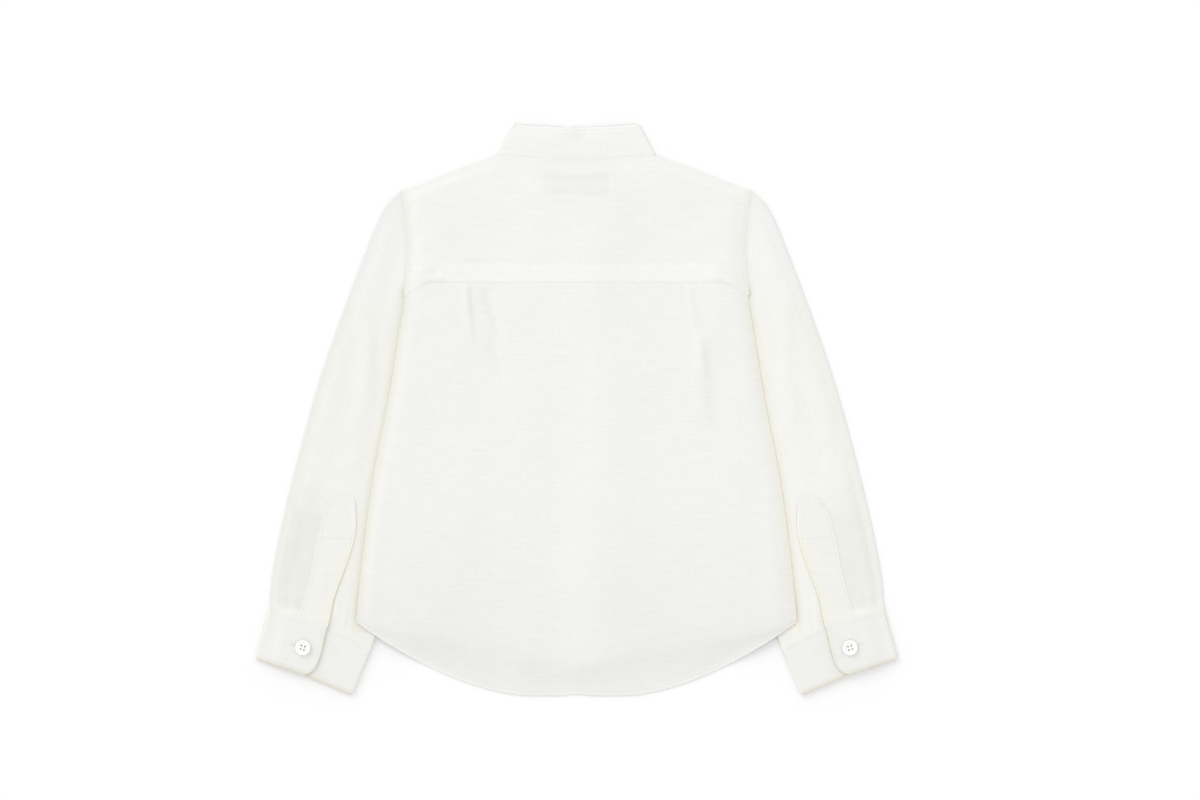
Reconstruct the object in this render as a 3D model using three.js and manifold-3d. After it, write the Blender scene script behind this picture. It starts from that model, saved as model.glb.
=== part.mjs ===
// A child's blouse laid flat with its back up, in millimetres, +Z up and +Y towards the collar.
// The front lies on the surface, the sleeves lie beside and under the body, and the back is on top.
// Left and right are the wearer's, so the left side has negative X.

import * as THREE from 'three';
import { mergeVertices } from 'three/addons/utils/BufferGeometryUtils.js';
import Module from 'manifold-3d';

// Walls and the space between pieces
const CLOTH = 1.0;
const TURNED = 1.4;
const STAND = 1.2;
const GAP = 0.3;
const LAYER = CLOTH + GAP;
const INNER_GAP = 0.5;
const EDGE_ROUNDING = 0.35;

// Collar and neck
const NECK_HALF = 58.8;
const NECK_SIDE_Y = 189.6;
const NECK_BACK_Y = 185.3;
const NECK_FRONT_DROP = 58.6;
const COLLAR_TOP_HALF = 46.5;
const COLLAR_TOP_Y = 212.3;
const COLLAR_TOP_DIP = 2.2;
const COLLAR_FRONT_DROP = 56.7;
const COLLAR_END = 13;

// Yoke, closing and hem
const YOKE_SEAM_Y = 94;
const YOKE_SEAM_FALL = 9.6;
const YOKE_FALL_FROM = 108;
const YOKE_FRONT = 20;
const BAND_HALF = 15;
const HEM_Y = -213;
const HEM_RISE = 55.4;
const HEM_FLAT_HALF = 34;
const HEM_POWER = 1.72;
const HEM_DEPTH = 4;
const HEM_EXTRA = 0.5;

// Edge of the body, from the shoulder point past the underarm to the corner of the hem
const BODY_SIDE = [
  { y: 163.2, half: 130.3 },
  { y: 144.9, half: 127.8 },
  { y: 126.3, half: 126.4 },
  { y: 111.4, half: 126.4 },
  { y: 89.0, half: 128.4 },
  { y: 76.4, half: 129.6 },
  { y: 51.8, half: 133.6 },
  { y: 7.1, half: 140.7 },
  { y: -52.5, half: 152.1 },
  { y: -109.7, half: 159.9 },
  { y: -157.9, half: 164.7 },
];
const CORNER = BODY_SIDE[BODY_SIDE.length - 1];
const SHOULDER_HALF = BODY_SIDE[0].half;

// Shoulder edge, from the neck to the shoulder point
const SHOULDER = [
  { half: 58.8, y: 189.6 },
  { half: 68.2, y: 185.9 },
  { half: 89.8, y: 178.4 },
  { half: 107.7, y: 171.0 },
  { half: 122.0, y: 165.4 },
  { half: 130.3, y: 163.2 },
];

// Hem of the fronts, which is shorter than the back
const FRONT_HEM = [
  { half: 0, y: -187.0 },
  { half: 23, y: -181.5 },
  { half: 61, y: -172.0 },
  { half: 98, y: -166.0 },
  { half: 135, y: -161.5 },
  { half: 164.7, y: -157.9 },
];

// Outer fold of a sleeve, from the shoulder point to the cuff
const SLEEVE_OUTER = [
  { y: 163.2, half: 130.6 },
  { y: 153.1, half: 140.5 },
  { y: 141.2, half: 147.2 },
  { y: 117.3, half: 156.9 },
  { y: 69.7, half: 174.8 },
  { y: 22.0, half: 191.2 },
  { y: -25.7, half: 204.6 },
  { y: -73.4, half: 216.5 },
  { y: -121.1, half: 226.2 },
  { y: -150.6, half: 229.1 },
];

// Inner fold of a sleeve, hidden under the body, from the underarm to the cuff
const SLEEVE_INNER = [
  { y: 7.1, half: 90.5 },
  { y: -32.0, half: 95.0 },
  { y: -90.0, half: 116.0 },
  { y: -140.0, half: 137.0 },
  { y: -178.1, half: 153.3 },
];

// Mouth of a sleeve: along the armhole to the underarm, then hidden under the body
const UNDERARM_Y = 89.0;
const UNDERARM_AT = 0.45;
const MOUTH_GAP = 0.45;

// Upper and lower edge of a cuff, from its outer fold to its inner fold
const CUFF_TOP = [
  { at: 0, half: 229.1, y: -150.9 },
  { at: 0.28, half: 207.5, y: -154.8 },
  { at: 0.56, half: 184.7, y: -161.6 },
  { at: 1, half: 153.1, y: -178.4 },
];
const CUFF_BOTTOM = [
  { at: 0, half: 238.8, y: -185.5 },
  { at: 0.28, half: 214.0, y: -193.3 },
  { at: 0.56, half: 194.0, y: -201.0 },
  { at: 1, half: 167.2, y: -212.2 },
];
const OVERLAP_END = 0.55;
const OVERLAP_CORNER = 0.15;
const OVERLAP_CORNER_DEPTH = 0.42;
const UNDERLAP_END = 0.24;
const OVERLAP_CLIMB = [0.06, 0.2];

// Placket strip: its outer edge and its opening edge, from the round top to the cuff
const PLACKET_OUTER = [
  { half: 174.0, y: -63.6 },
  { half: 181.4, y: -66.4 },
  { half: 187.0, y: -76.0 },
  { half: 191.1, y: -89.0 },
  { half: 194.4, y: -103.9 },
  { half: 198.8, y: -125.5 },
  { half: 203.3, y: -141.9 },
  { half: 207.3, y: -153.9 },
];
const PLACKET_OPENING = [
  { half: 166.6, y: -64.0 },
  { half: 165.0, y: -69.5 },
  { half: 164.4, y: -78.5 },
  { half: 164.6, y: -90.0 },
  { half: 167.2, y: -103.6 },
  { half: 173.9, y: -122.5 },
  { half: 180.2, y: -140.0 },
  { half: 185.2, y: -160.4 },
];
const SLIT_AT = [0.446, 0.46];
const SLIT_FROM = 0.76;
const BINDING_SHARE = [0.58, 0.92];
const BINDING_FROM_ROW = 2;
const PLACKET_CLIMB = { from: 0.12, width: 0.4 };

// Tucks under the yoke: place of the fold at the seam, how far it leans, its length and its width
const TUCKS = [
  { x: -78.6, lean: 8, length: 48, width: 8 },
  { x: 81.6, lean: 3, length: 78, width: 8 },
];
const TUCK_HEIGHT = 1.1;
const TUCK_STEP = 0.9;
const LEAN_REACH = 24;
const LEAN_LOST = { by: 220, over: 150 };

// Buttons
const BUTTON_R = 5.7;
const BUTTON_T = 1.9;
const HIDDEN_BUTTON_T = 1.6;
const BUTTON_HOLE_R = 0.75;
const BUTTON_HOLE_PITCH = 1.35;
const BUTTON_RIM = 1.5;
const BUTTON_DISH = 0.5;
const CUFF_BUTTON = { half: 203.5, y: -177.2 };
const FRONT_BUTTON_TOP = 116;
const FRONT_BUTTON_STEP = 50;
const FRONT_BUTTONS = 6;
const COLLAR_BUTTON_Y = 143;

// Label inside the back neck
const LABEL_HALF = 24;
const LABEL_TOP_Y = 183.5;
const LABEL_DEPTH = 17;

// Heights that lift the body over its sleeves, cuffs, buttons and bands
const OVER_SLEEVE = 2 * CLOTH + GAP + 0.5;
const OVER_CUFF = 2 * TURNED + GAP + 0.4;
const OVER_CUFF_FROM = { y: -118, over: 30 };
const LIFT_KEEP = 8;
const LIFT_REACH = 40;
const RIDGE = HIDDEN_BUTTON_T + GAP;
const RIDGE_FULL = 8;
const RIDGE_REACH = 20;

// Where a layer climbs or comes down: the place at which it starts, and the way it takes
const LEFT_CLIMB = { half: 28, over: 12 };
const BAND_CLIMB = { half: 31, over: 14 };
const CLOSING_END = { y: 184, over: 22 };
const NECK_RISE = { y: 100, over: 24 };
const PAST_FRONTS = { keep: 14, over: 12 };
const FRONT_NARROWS = { y: 104, over: 12 };
const FRONT_NECK_CORNER = 55.3;

// Colours
const IVORY = 0xf5f5ef;
const PEARL = 0xf7f7f5;
const WHITE = 0xf2f2f2;

const smooth = (t) => {
  const c = Math.min(1, Math.max(0, t));
  return c * c * (3 - 2 * c);
};

const mix = (a, b, t) => a + (b - a) * t;

// Smooth curve through the rows of a table: reads column `to` where column `from` has the value
function read(table, from, to, value) {
  const rising = table[table.length - 1][from] > table[0][from];
  let k = 0;
  while (k < table.length - 2 && (rising ? value > table[k + 1][from] : value < table[k + 1][from])) {
    k += 1;
  }
  const slope = (i) => {
    const a = table[Math.max(0, i - 1)];
    const b = table[Math.min(table.length - 1, i + 1)];
    return (b[to] - a[to]) / (b[from] - a[from]);
  };
  const p = table[k];
  const q = table[k + 1];
  const span = q[from] - p[from];
  const t = (value - p[from]) / span;
  if (t <= 0) return p[to] + slope(k) * (value - p[from]);
  if (t >= 1) return q[to] + slope(k + 1) * (value - q[from]);
  const t2 = t * t;
  const t3 = t2 * t;
  const ends = (2 * t3 - 3 * t2 + 1) * p[to] + (3 * t2 - 2 * t3) * q[to];
  return ends + ((t3 - 2 * t2 + t) * slope(k) + (t3 - t2) * slope(k + 1)) * span;
}

const sideHalf = (y) => read(BODY_SIDE, 'y', 'half', y);
const shoulderY = (x) => read(SHOULDER, 'half', 'y', Math.abs(x));
const frontHemY = (x) => read(FRONT_HEM, 'half', 'y', Math.abs(x));
const hemY = (x) => {
  const u = Math.max(0, Math.abs(x) - HEM_FLAT_HALF) / (CORNER.half - HEM_FLAT_HALF);
  return HEM_Y + HEM_RISE * u ** HEM_POWER;
};
const SEAM_HALF = sideHalf(YOKE_SEAM_Y - YOKE_SEAM_FALL);
const yokeSeamY = (x) => {
  const past = Math.max(0, Math.abs(x) - YOKE_FALL_FROM) / (SEAM_HALF - YOKE_FALL_FROM);
  return YOKE_SEAM_Y - YOKE_SEAM_FALL * past;
};
const neckBackY = (x) => mix(NECK_BACK_Y, NECK_SIDE_Y, (x / NECK_HALF) ** 2);
const backTopY = (x) => (Math.abs(x) < NECK_HALF ? neckBackY(x) : shoulderY(x));
const neckFrontY = (x) => {
  const s = Math.min(1, Math.abs(x) / NECK_HALF);
  return NECK_SIDE_Y - NECK_FRONT_DROP * Math.sqrt(1 - s * s);
};

// Inner outline of what lies under one side of the body: sleeve mouth, inner fold and cuff
const UNDER_OUTLINE = [
  { half: sideHalf(UNDERARM_Y), y: UNDERARM_Y },
  ...SLEEVE_INNER,
  { half: CUFF_BOTTOM[3].half, y: CUFF_BOTTOM[3].y },
];

// Distance in plan from a point of the body to what lies under it, 0 above it
function clearOfSleeve(x, y) {
  const px = Math.abs(x);
  let nearest = Infinity;
  let inside = false;
  for (let k = 0; k < UNDER_OUTLINE.length - 1; k += 1) {
    const a = UNDER_OUTLINE[k];
    const b = UNDER_OUTLINE[k + 1];
    const dx = b.half - a.half;
    const dy = b.y - a.y;
    const t = Math.min(1, Math.max(0, ((px - a.half) * dx + (y - a.y) * dy) / (dx * dx + dy * dy)));
    nearest = Math.min(nearest, Math.hypot(px - a.half - dx * t, y - a.y - dy * t));
    if (y <= a.y && y > b.y && px > a.half + (dx * (y - a.y)) / dy) inside = true;
  }
  return inside ? 0 : nearest;
}

// Underside of the fronts: on the surface, and lifted over the sleeves and cuffs
function sleeveLift(x, y) {
  const full = mix(OVER_SLEEVE, OVER_CUFF, smooth((OVER_CUFF_FROM.y - y) / OVER_CUFF_FROM.over));
  return full * smooth(1 - (clearOfSleeve(x, y) - LIFT_KEEP) / LIFT_REACH);
}

const ridge = (x) => RIDGE * smooth(1 - (Math.abs(x) - RIDGE_FULL) / RIDGE_REACH);
const frontUnder = (x, y) => sleeveLift(x, y) + ridge(x);

// Share by which the left side has climbed over the right front's band, and the back over both bands
const climbed = (x) => smooth((x + LEFT_CLIMB.half) / LEFT_CLIMB.over);
const bandLift = (x) => smooth((BAND_CLIMB.half - Math.abs(x)) / BAND_CLIMB.over);

// Underside of the back: above the fronts, down on the surface past the fronts' hem
function backUnder(x, y) {
  const neck = (STAND - CLOTH) * smooth((y - NECK_RISE.y) / NECK_RISE.over);
  const below = smooth((CLOSING_END.y - y) / CLOSING_END.over);
  const closing = (ridge(x) + (LAYER + 2 * neck) * bandLift(x)) * below;
  const fronts = smooth((y - frontHemY(x) + PAST_FRONTS.keep) / PAST_FRONTS.over);
  return sleeveLift(x, y) + (LAYER + INNER_GAP - GAP + neck + closing) * fronts;
}

// Closed wall from a grid of places, each with a point on the outer and on the inner face.
// `wraps` joins the last column to the first, and `present` leaves cells out.
function wall(rows, cols, place, { wraps = false, present = () => true } = {}) {
  const positions = [];
  const numbers = new Map();
  const triangles = [];
  const cellCols = wraps ? cols : cols - 1;
  const isCell = (i, j) => {
    if (i < 0 || i >= rows - 1) return false;
    if (!wraps && (j < 0 || j >= cellCols)) return false;
    return present(i, (j + cellCols) % cellCols);
  };
  const corner = (i, j, side) => {
    const column = j % cols;
    const key = `${i} ${column} ${side}`;
    if (!numbers.has(key)) {
      numbers.set(key, positions.length / 3);
      positions.push(...place(i, column)[side].toArray());
    }
    return numbers.get(key);
  };
  const quad = (a, b, c, d) => triangles.push(a, b, c, a, c, d);
  for (let i = 0; i < rows - 1; i += 1) {
    for (let j = 0; j < cellCols; j += 1) {
      if (!isCell(i, j)) continue;
      const ring = [[i, j], [i + 1, j], [i + 1, j + 1], [i, j + 1]];
      const [a, b, c, d] = ring.map(([r, s]) => corner(r, s, 'outer'));
      const [e, f, g, h] = ring.map(([r, s]) => corner(r, s, 'inner'));
      quad(a, b, c, d);
      triangles.push(e, g, f, e, h, g);
      if (!isCell(i, j - 1)) quad(b, a, e, f);
      if (!isCell(i + 1, j)) quad(c, b, f, g);
      if (!isCell(i, j + 1)) quad(d, c, g, h);
      if (!isCell(i - 1, j)) quad(a, d, h, e);
    }
  }
  return closedGeometry(positions, triangles);
}

// Geometry from points and triangles, turned so that its faces point out
function closedGeometry(positions, triangles) {
  const at = (n) => new THREE.Vector3(...positions.slice(3 * n, 3 * n + 3));
  let volume = 0;
  for (let k = 0; k < triangles.length; k += 3) {
    volume += at(triangles[k]).dot(at(triangles[k + 1]).cross(at(triangles[k + 2])));
  }
  const order = volume > 0 ? triangles : [...triangles].reverse();
  const geometry = new THREE.BufferGeometry();
  geometry.setAttribute('position', new THREE.Float32BufferAttribute(positions, 3));
  geometry.setIndex(order);
  geometry.computeVertexNormals();
  return geometry;
}

// Place on a level layer: its underside at z and its wall straight up
const level = (x, y, z, thickness) => ({
  outer: new THREE.Vector3(x, y, z + thickness),
  inner: new THREE.Vector3(x, y, z),
});

// Place on a fold: the middle of the wall turns round a centre, in the vertical plane of `out`
function onFold(centre, out, angle, radius, thickness) {
  const direction = new THREE.Vector3(out.x * Math.cos(angle), out.y * Math.cos(angle), Math.sin(angle));
  return {
    outer: centre.clone().addScaledVector(direction, radius + thickness / 2),
    inner: centre.clone().addScaledVector(direction, radius - thickness / 2),
  };
}

function mesh(name, geometry, colour, roughness) {
  const material = new THREE.MeshStandardMaterial({ color: colour, roughness, metalness: 0 });
  const piece = new THREE.Mesh(geometry, material);
  piece.name = name;
  return piece;
}

const cloth = (name, geometry) => mesh(name, geometry, IVORY, 0.9);

// Lower back: rows from the yoke seam to the hem, columns with a lip turned down at each side
function backPanel() {
  const rowShares = [0, 0.04, 0.09, 0.14, 0.2, 0.26, 0.33, 0.4, 0.47, 0.54, 0.62, 0.7, 0.78, 0.86, 0.93];
  const lastRows = [
    { pastFronts: 2, aboveHem: 9 },
    { pastFronts: 14, aboveHem: 6.5 },
    { pastFronts: Infinity, aboveHem: HEM_DEPTH + 0.6 },
    { pastFronts: Infinity, aboveHem: HEM_DEPTH },
    { pastFronts: Infinity, aboveHem: EDGE_ROUNDING },
    { pastFronts: Infinity, aboveHem: 0 },
  ];
  const tuckColumns = TUCKS.flatMap(({ x, width }) => [x - width, x - width / 2, x, x + TUCK_STEP]);
  const plain = [0, 7.5, 15, 22.5, 30, 40, 51, 62, 94, YOKE_FALL_FROM, 118, 124];
  const columns = [...plain, ...plain.slice(1).map((x) => -x), ...tuckColumns].sort((a, b) => a - b);
  const topY = yokeSeamY(SEAM_HALF) - GAP;
  const topHalf = sideHalf(topY);
  const sideY = (share) => mix(topY, CORNER.y, share);
  const foldRadius = (INNER_GAP + CLOTH) / 2;
  const sideInset = foldRadius + CLOTH / 2;
  const rows = rowShares.length + lastRows.length;
  const lip = [{ angle: 0, drop: 0.55 }, { angle: 0, drop: 0 }, { angle: Math.PI / 4, drop: 0 }];
  const cols = columns.length + 2 * lip.length;

  const seat = (i, columnX) => {
    const fan = (share) => (sideHalf(sideY(share)) - sideInset) / (topHalf - sideInset);
    const top = Math.min(columnX, topHalf - sideInset);
    const inner = Math.max(top, sideInset - topHalf);
    const hemX = inner * fan(1);
    const lastY = (row) => hemY(hemX) + Math.max(row.aboveHem, frontHemY(hemX) - hemY(hemX) - row.pastFronts);
    if (i >= rowShares.length) return { x: hemX, y: lastY(lastRows[i - rowShares.length]), raise: 0 };
    const share = rowShares[i];
    const y = mix(yokeSeamY(columnX) - GAP, lastY(lastRows[0]), share);
    let x = inner * fan(share);
    let raise = 0;
    for (const tuck of TUCKS) {
      const below = yokeSeamY(tuck.x) - y;
      const near = smooth(1 - Math.abs(inner - tuck.x) / LEAN_REACH);
      const leaning = smooth(below / tuck.length) * smooth((LEAN_LOST.by - below) / LEAN_LOST.over);
      x += tuck.lean * near * leaning;
      const across = inner - tuck.x;
      const inFold = across > 0.01 ? 0 : smooth((across + tuck.width) / (tuck.width / 2));
      raise = Math.max(raise, TUCK_HEIGHT * inFold * smooth((tuck.length - below) / (0.7 * tuck.length)));
    }
    return { x, y, raise };
  };
  const place = (i, j) => {
    const edge = Math.min(j, cols - 1 - j);
    const hemmed = i >= rows - 3 ? HEM_EXTRA : 0;
    const trim = i === rows - 1 ? EDGE_ROUNDING : 0;
    if (edge >= lip.length) {
      const { x, y, raise } = seat(i, columns[j - lip.length]);
      return level(x, y, backUnder(x, y), CLOTH + raise + hemmed - trim);
    }
    const sign = j < cols / 2 ? -1 : 1;
    const { angle, drop } = lip[edge];
    const { x, y } = seat(i, sign * topHalf);
    const centre = new THREE.Vector3(x, y, backUnder(x, y) + CLOTH / 2 - foldRadius - drop);
    return onFold(centre, { x: sign, y: 0 }, angle, foldRadius, CLOTH);
  };
  return cloth('back_panel', wall(rows, cols, place));
}

// Yoke: a back part from its seam up to the neck and shoulders, folded to the front at the shoulders
function yoke() {
  const neckEdge = (NECK_HALF + 0.4) * (SEAM_HALF / SHOULDER_HALF);
  const seamHalf = [0, 7.5, 15, 22.5, 30, 40, 49.5, neckEdge, 68, 78, 88, 98, YOKE_FALL_FROM, 118, SEAM_HALF];
  const fan = SHOULDER_HALF / SEAM_HALF;
  const half = seamHalf.map((x) => x * fan);
  const columns = [...half.slice(1).map((x) => -x).reverse(), ...half];
  const backShares = [1, 0.88, 0.75, 0.62, 0.5, 0.38, 0.26, 0.13, 0];
  const foldAngles = [Math.PI / 4, 0, -Math.PI / 4, -Math.PI / 2];
  const frontShares = [0.5, 1];
  const radius = (CLOTH + INNER_GAP) / 2;
  const inset = radius + CLOTH / 2;
  const rows = backShares.length + foldAngles.length + frontShares.length;
  const isShoulder = (x) => Math.abs(x) > NECK_HALF;
  const edgeX = (x, y) => (x / SHOULDER_HALF) * sideHalf(y);

  const place = (i, j) => {
    const top = columns[j];
    const foldY = backTopY(top) - (isShoulder(top) ? inset : GAP);
    if (i < backShares.length) {
      const share = backShares[i];
      const y = mix(foldY, yokeSeamY(top / fan), share);
      const x = edgeX(top, mix(BODY_SIDE[0].y, yokeSeamY(SEAM_HALF), share));
      return level(x, y, backUnder(x, y), CLOTH);
    }
    const upper = backUnder(top, foldY) + CLOTH / 2;
    const lower = CLOTH / 2;
    const turn = (upper - lower) / 2;
    const k = i - backShares.length;
    if (k < foldAngles.length) {
      const centre = new THREE.Vector3(top, foldY, (upper + lower) / 2);
      return onFold(centre, { x: 0, y: 1 }, foldAngles[k], turn, CLOTH);
    }
    const y = foldY - frontShares[k - foldAngles.length] * (YOKE_FRONT - inset);
    const placed = level(edgeX(top, y), y, 0, CLOTH);
    return { outer: placed.inner, inner: placed.outer };
  };
  const firstFoldRow = backShares.length - 1;
  const present = (i, j) => i < firstFoldRow || (isShoulder(columns[j]) && isShoulder(columns[j + 1])
    && columns[j] * columns[j + 1] > 0);
  return cloth('yoke', wall(rows, columns.length, place, { present }));
}

// One front, from its band to the side, under the back
function frontPanel(side) {
  const inner = BAND_HALF + GAP;
  const columns = [inner, 22.5, 30, 38, 46, 52, 55.4, 60, 70, 81, 92, 103, 113, 122, 129.5];
  const rowShares = [0, 0.03, 0.07, 0.12, 0.18, 0.24, 0.3, 0.36, 0.42, 0.49, 0.56, 0.63, 0.7, 0.77, 0.84, 0.9, 0.95, 1];
  const topHalf = columns[columns.length - 1];
  const topY = (x) => (x < FRONT_NECK_CORNER ? neckFrontY(x) : shoulderY(x) - YOKE_FRONT) - GAP;
  const edge = (y) => sideHalf(y) - (2 * CLOTH) * smooth((FRONT_NARROWS.y - y) / FRONT_NARROWS.over);
  const place = (i, j) => {
    const across = (columns[j] - inner) / (topHalf - inner);
    const share = rowShares[i];
    const sideY = mix(topY(topHalf), CORNER.y, share);
    const x = side * mix(inner, edge(sideY), across);
    const y = mix(topY(columns[j]), frontHemY(mix(inner, edge(CORNER.y), across)), share);
    const climb = side < 0 ? LAYER * climbed(x) : 0;
    return level(x, y, frontUnder(x, y) + climb, CLOTH);
  };
  return cloth(side < 0 ? 'front_left' : 'front_right', wall(rowShares.length, columns.length, place));
}

// Band along a front edge: the buttonhole band lies lower, the button band on it
function closingBand(name, raised) {
  const columns = [-BAND_HALF, -RIDGE_FULL, 0, RIDGE_FULL, BAND_HALF];
  const steps = 12;
  const place = (i, j) => {
    const x = columns[j];
    const y = mix(neckFrontY(x) - GAP, frontHemY(x), i / steps);
    return level(x, y, frontUnder(x, y) + raised, CLOTH);
  };
  return cloth(name, wall(steps + 1, columns.length, place));
}

// Collar band: from the right front end round the back of the neck to the left front end
function collarBand() {
  const heights = [0, 0.5, 1];
  const fold = (STAND + GAP) / 2;
  const inset = fold + STAND / 2;
  const frontPlace = (sine, height, side, climb) => {
    const cosine = Math.sqrt(1 - sine * sine);
    const x = side * mix(NECK_HALF - inset, COLLAR_TOP_HALF - inset, height) * sine;
    const base = NECK_SIDE_Y - NECK_FRONT_DROP * cosine;
    const top = COLLAR_TOP_Y - COLLAR_FRONT_DROP * cosine;
    const placed = level(x, mix(base, top, height), ridge(x) + climb(x), STAND);
    return { outer: placed.inner, inner: placed.outer };
  };
  const backPlace = (share, height) => {
    const x = share * mix(NECK_HALF - inset, COLLAR_TOP_HALF - inset, height);
    const top = COLLAR_TOP_Y - COLLAR_TOP_DIP * (1 - share * share);
    return level(x, mix(neckBackY(share * NECK_HALF), top, height), STAND + GAP, STAND);
  };
  const foldPlace = (height, side, angle) => {
    const x = side * mix(NECK_HALF - inset, COLLAR_TOP_HALF - inset, height);
    const centre = new THREE.Vector3(x, mix(NECK_SIDE_Y, COLLAR_TOP_Y, height), STAND / 2 + fold);
    return onFold(centre, { x: side, y: 0 }, angle, fold, STAND);
  };
  const sines = [-COLLAR_END / NECK_HALF, -0.13, 0, 0.13, 0.26, 0.4, 0.54, 0.68, 0.8, 0.9, 0.97, 1];
  const turned = [-Math.PI / 4, 0, Math.PI / 4];
  const stations = [];
  const low = () => 0;
  const high = (x) => (STAND + GAP) * climbed(x);
  sines.forEach((s) => stations.push((h) => frontPlace(Math.abs(s), h, s < 0 ? -1 : 1, low)));
  turned.forEach((a) => stations.push((h) => foldPlace(h, 1, a)));
  [1, 0.8, 0.55, 0.3, 0, -0.3, -0.55, -0.8, -1].forEach((s) => stations.push((h) => backPlace(s, h)));
  [...turned].reverse().forEach((a) => stations.push((h) => foldPlace(h, -1, a)));
  [...sines].reverse().forEach((s) => stations.push((h) => frontPlace(Math.abs(s), h, s < 0 ? 1 : -1, high)));
  return cloth('collar_band', wall(stations.length, heights.length, (i, j) => stations[i](heights[j])));
}

// Plain label under the yoke at the back neck
function neckLabel() {
  const columns = [-LABEL_HALF, 0, LABEL_HALF];
  const steps = 2;
  const place = (i, j) => {
    const y = LABEL_TOP_Y - (LABEL_DEPTH * i) / steps;
    return level(columns[j], y, GAP, CLOTH);
  };
  return mesh('neck_label', wall(steps + 1, columns.length, place), WHITE, 0.7);
}

// Point in plan on a sleeve: `along` runs from armhole to cuff, `across` from outer to inner fold
function sleevePoint(along, across) {
  const outer = (t) => {
    const y = mix(SLEEVE_OUTER[0].y, SLEEVE_OUTER[SLEEVE_OUTER.length - 1].y, t);
    return new THREE.Vector2(read(SLEEVE_OUTER, 'y', 'half', y), y);
  };
  const inner = (t) => {
    const y = mix(SLEEVE_INNER[0].y, SLEEVE_INNER[SLEEVE_INNER.length - 1].y, t);
    return new THREE.Vector2(read(SLEEVE_INNER, 'y', 'half', y), y);
  };
  const mouth = (t) => {
    if (t <= UNDERARM_AT) {
      const y = mix(SLEEVE_OUTER[0].y, UNDERARM_Y, t / UNDERARM_AT);
      return new THREE.Vector2(sideHalf(y) + MOUTH_GAP, y);
    }
    const a = new THREE.Vector2(sideHalf(UNDERARM_Y) + MOUTH_GAP, UNDERARM_Y);
    return a.lerp(inner(0), (t - UNDERARM_AT) / (1 - UNDERARM_AT));
  };
  const wrist = (t) => new THREE.Vector2(
    read(CUFF_TOP, 'at', 'half', t),
    read(CUFF_TOP, 'at', 'y', t) + GAP,
  );
  const ruledAcross = outer(along).lerp(inner(along), across);
  const ruledAlong = mouth(across).lerp(wrist(across), along);
  const corners = mouth(0).lerp(wrist(0), along).lerp(mouth(1).lerp(wrist(1), along), across);
  return ruledAcross.add(ruledAlong).sub(corners);
}

// Sleeve: a flattened tube, folded at both edges, with a slit in its upper layer at the wrist
function sleeve(side) {
  const alongs = [0, 0.03, 0.07, 0.13, 0.2, 0.28, 0.36, 0.44, 0.52, 0.6, 0.68, SLIT_FROM, 0.84, 0.92, 1];
  const acrosses = [0, 0.12, 0.24, 0.35, ...SLIT_AT, 0.58, 0.72, 0.86, 1];
  const turned = [-Math.PI / 4, 0, Math.PI / 4];
  const height = 2 * CLOTH + GAP;
  const radius = (height - CLOTH) / 2;
  const inset = height / 2;
  const lowerCount = acrosses.length;
  const cols = 2 * lowerCount + 2 * turned.length;
  const slitColumn = lowerCount + turned.length + acrosses.indexOf(SLIT_AT[0]);
  const slitRow = alongs.indexOf(SLIT_FROM);

  const place = (i, j) => {
    const along = alongs[i];
    const outerEdge = sleevePoint(along, 0);
    const innerEdge = sleevePoint(along, 1);
    const outDir = outerEdge.clone().sub(sleevePoint(along, 0.06)).normalize();
    const inDir = innerEdge.clone().sub(sleevePoint(along, 0.94)).normalize();
    const point = (across) => {
      const p = sleevePoint(along, across);
      p.addScaledVector(outDir, -inset * (1 - across));
      return p.addScaledVector(inDir, -inset * across);
    };
    const fold = (p, direction, angle) => onFold(
      new THREE.Vector3(side * p.x, p.y, height / 2),
      { x: side * direction.x, y: direction.y },
      angle,
      radius,
      CLOTH,
    );
    if (j < lowerCount) {
      const p = point(acrosses[lowerCount - 1 - j]);
      const placed = level(side * p.x, p.y, 0, CLOTH);
      return { outer: placed.inner, inner: placed.outer };
    }
    if (j < lowerCount + turned.length) return fold(point(0), outDir, turned[j - lowerCount]);
    if (j < 2 * lowerCount + turned.length) {
      const p = point(acrosses[j - lowerCount - turned.length]);
      return level(side * p.x, p.y, height - CLOTH, CLOTH);
    }
    return fold(point(1), inDir, turned[cols - 1 - j]);
  };
  const present = (i, j) => !(j === slitColumn && i >= slitRow);
  const name = side < 0 ? 'sleeve_left' : 'sleeve_right';
  return cloth(name, wall(alongs.length, cols, place, { wraps: true, present }));
}

// Strip between two edges of the placket, as shares of its width
function placketStrip(name, side, shares, firstRow, under, lastTrim) {
  const rows = PLACKET_OUTER.length - firstRow;
  const place = (i, j) => {
    const a = PLACKET_OUTER[i + firstRow];
    const b = PLACKET_OPENING[i + firstRow];
    const x = mix(a.half, b.half, shares[j]);
    const y = mix(a.y, b.y, shares[j]) + (i === rows - 1 ? lastTrim : 0);
    return level(side * x, y, under(shares[j]), CLOTH);
  };
  return cloth(name, wall(rows, shares.length, place));
}

// Placket strip over the slit, and the binding of the slit's other side beneath it
function placket(side) {
  const sleeveTop = 2 * CLOTH + GAP;
  const over = (share) => sleeveTop + GAP + LAYER * smooth((share - PLACKET_CLIMB.from) / PLACKET_CLIMB.width);
  const word = side < 0 ? 'left' : 'right';
  const strip = [0, 0.14, 0.28, 0.42, 0.56, 0.78, 1];
  return [
    placketStrip(`sleeve_placket_${word}`, side, strip, 0, over, 2 * GAP),
    placketStrip(`slit_binding_${word}`, side, BINDING_SHARE, BINDING_FROM_ROW, () => sleeveTop + GAP, 2 * GAP),
  ];
}

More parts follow.
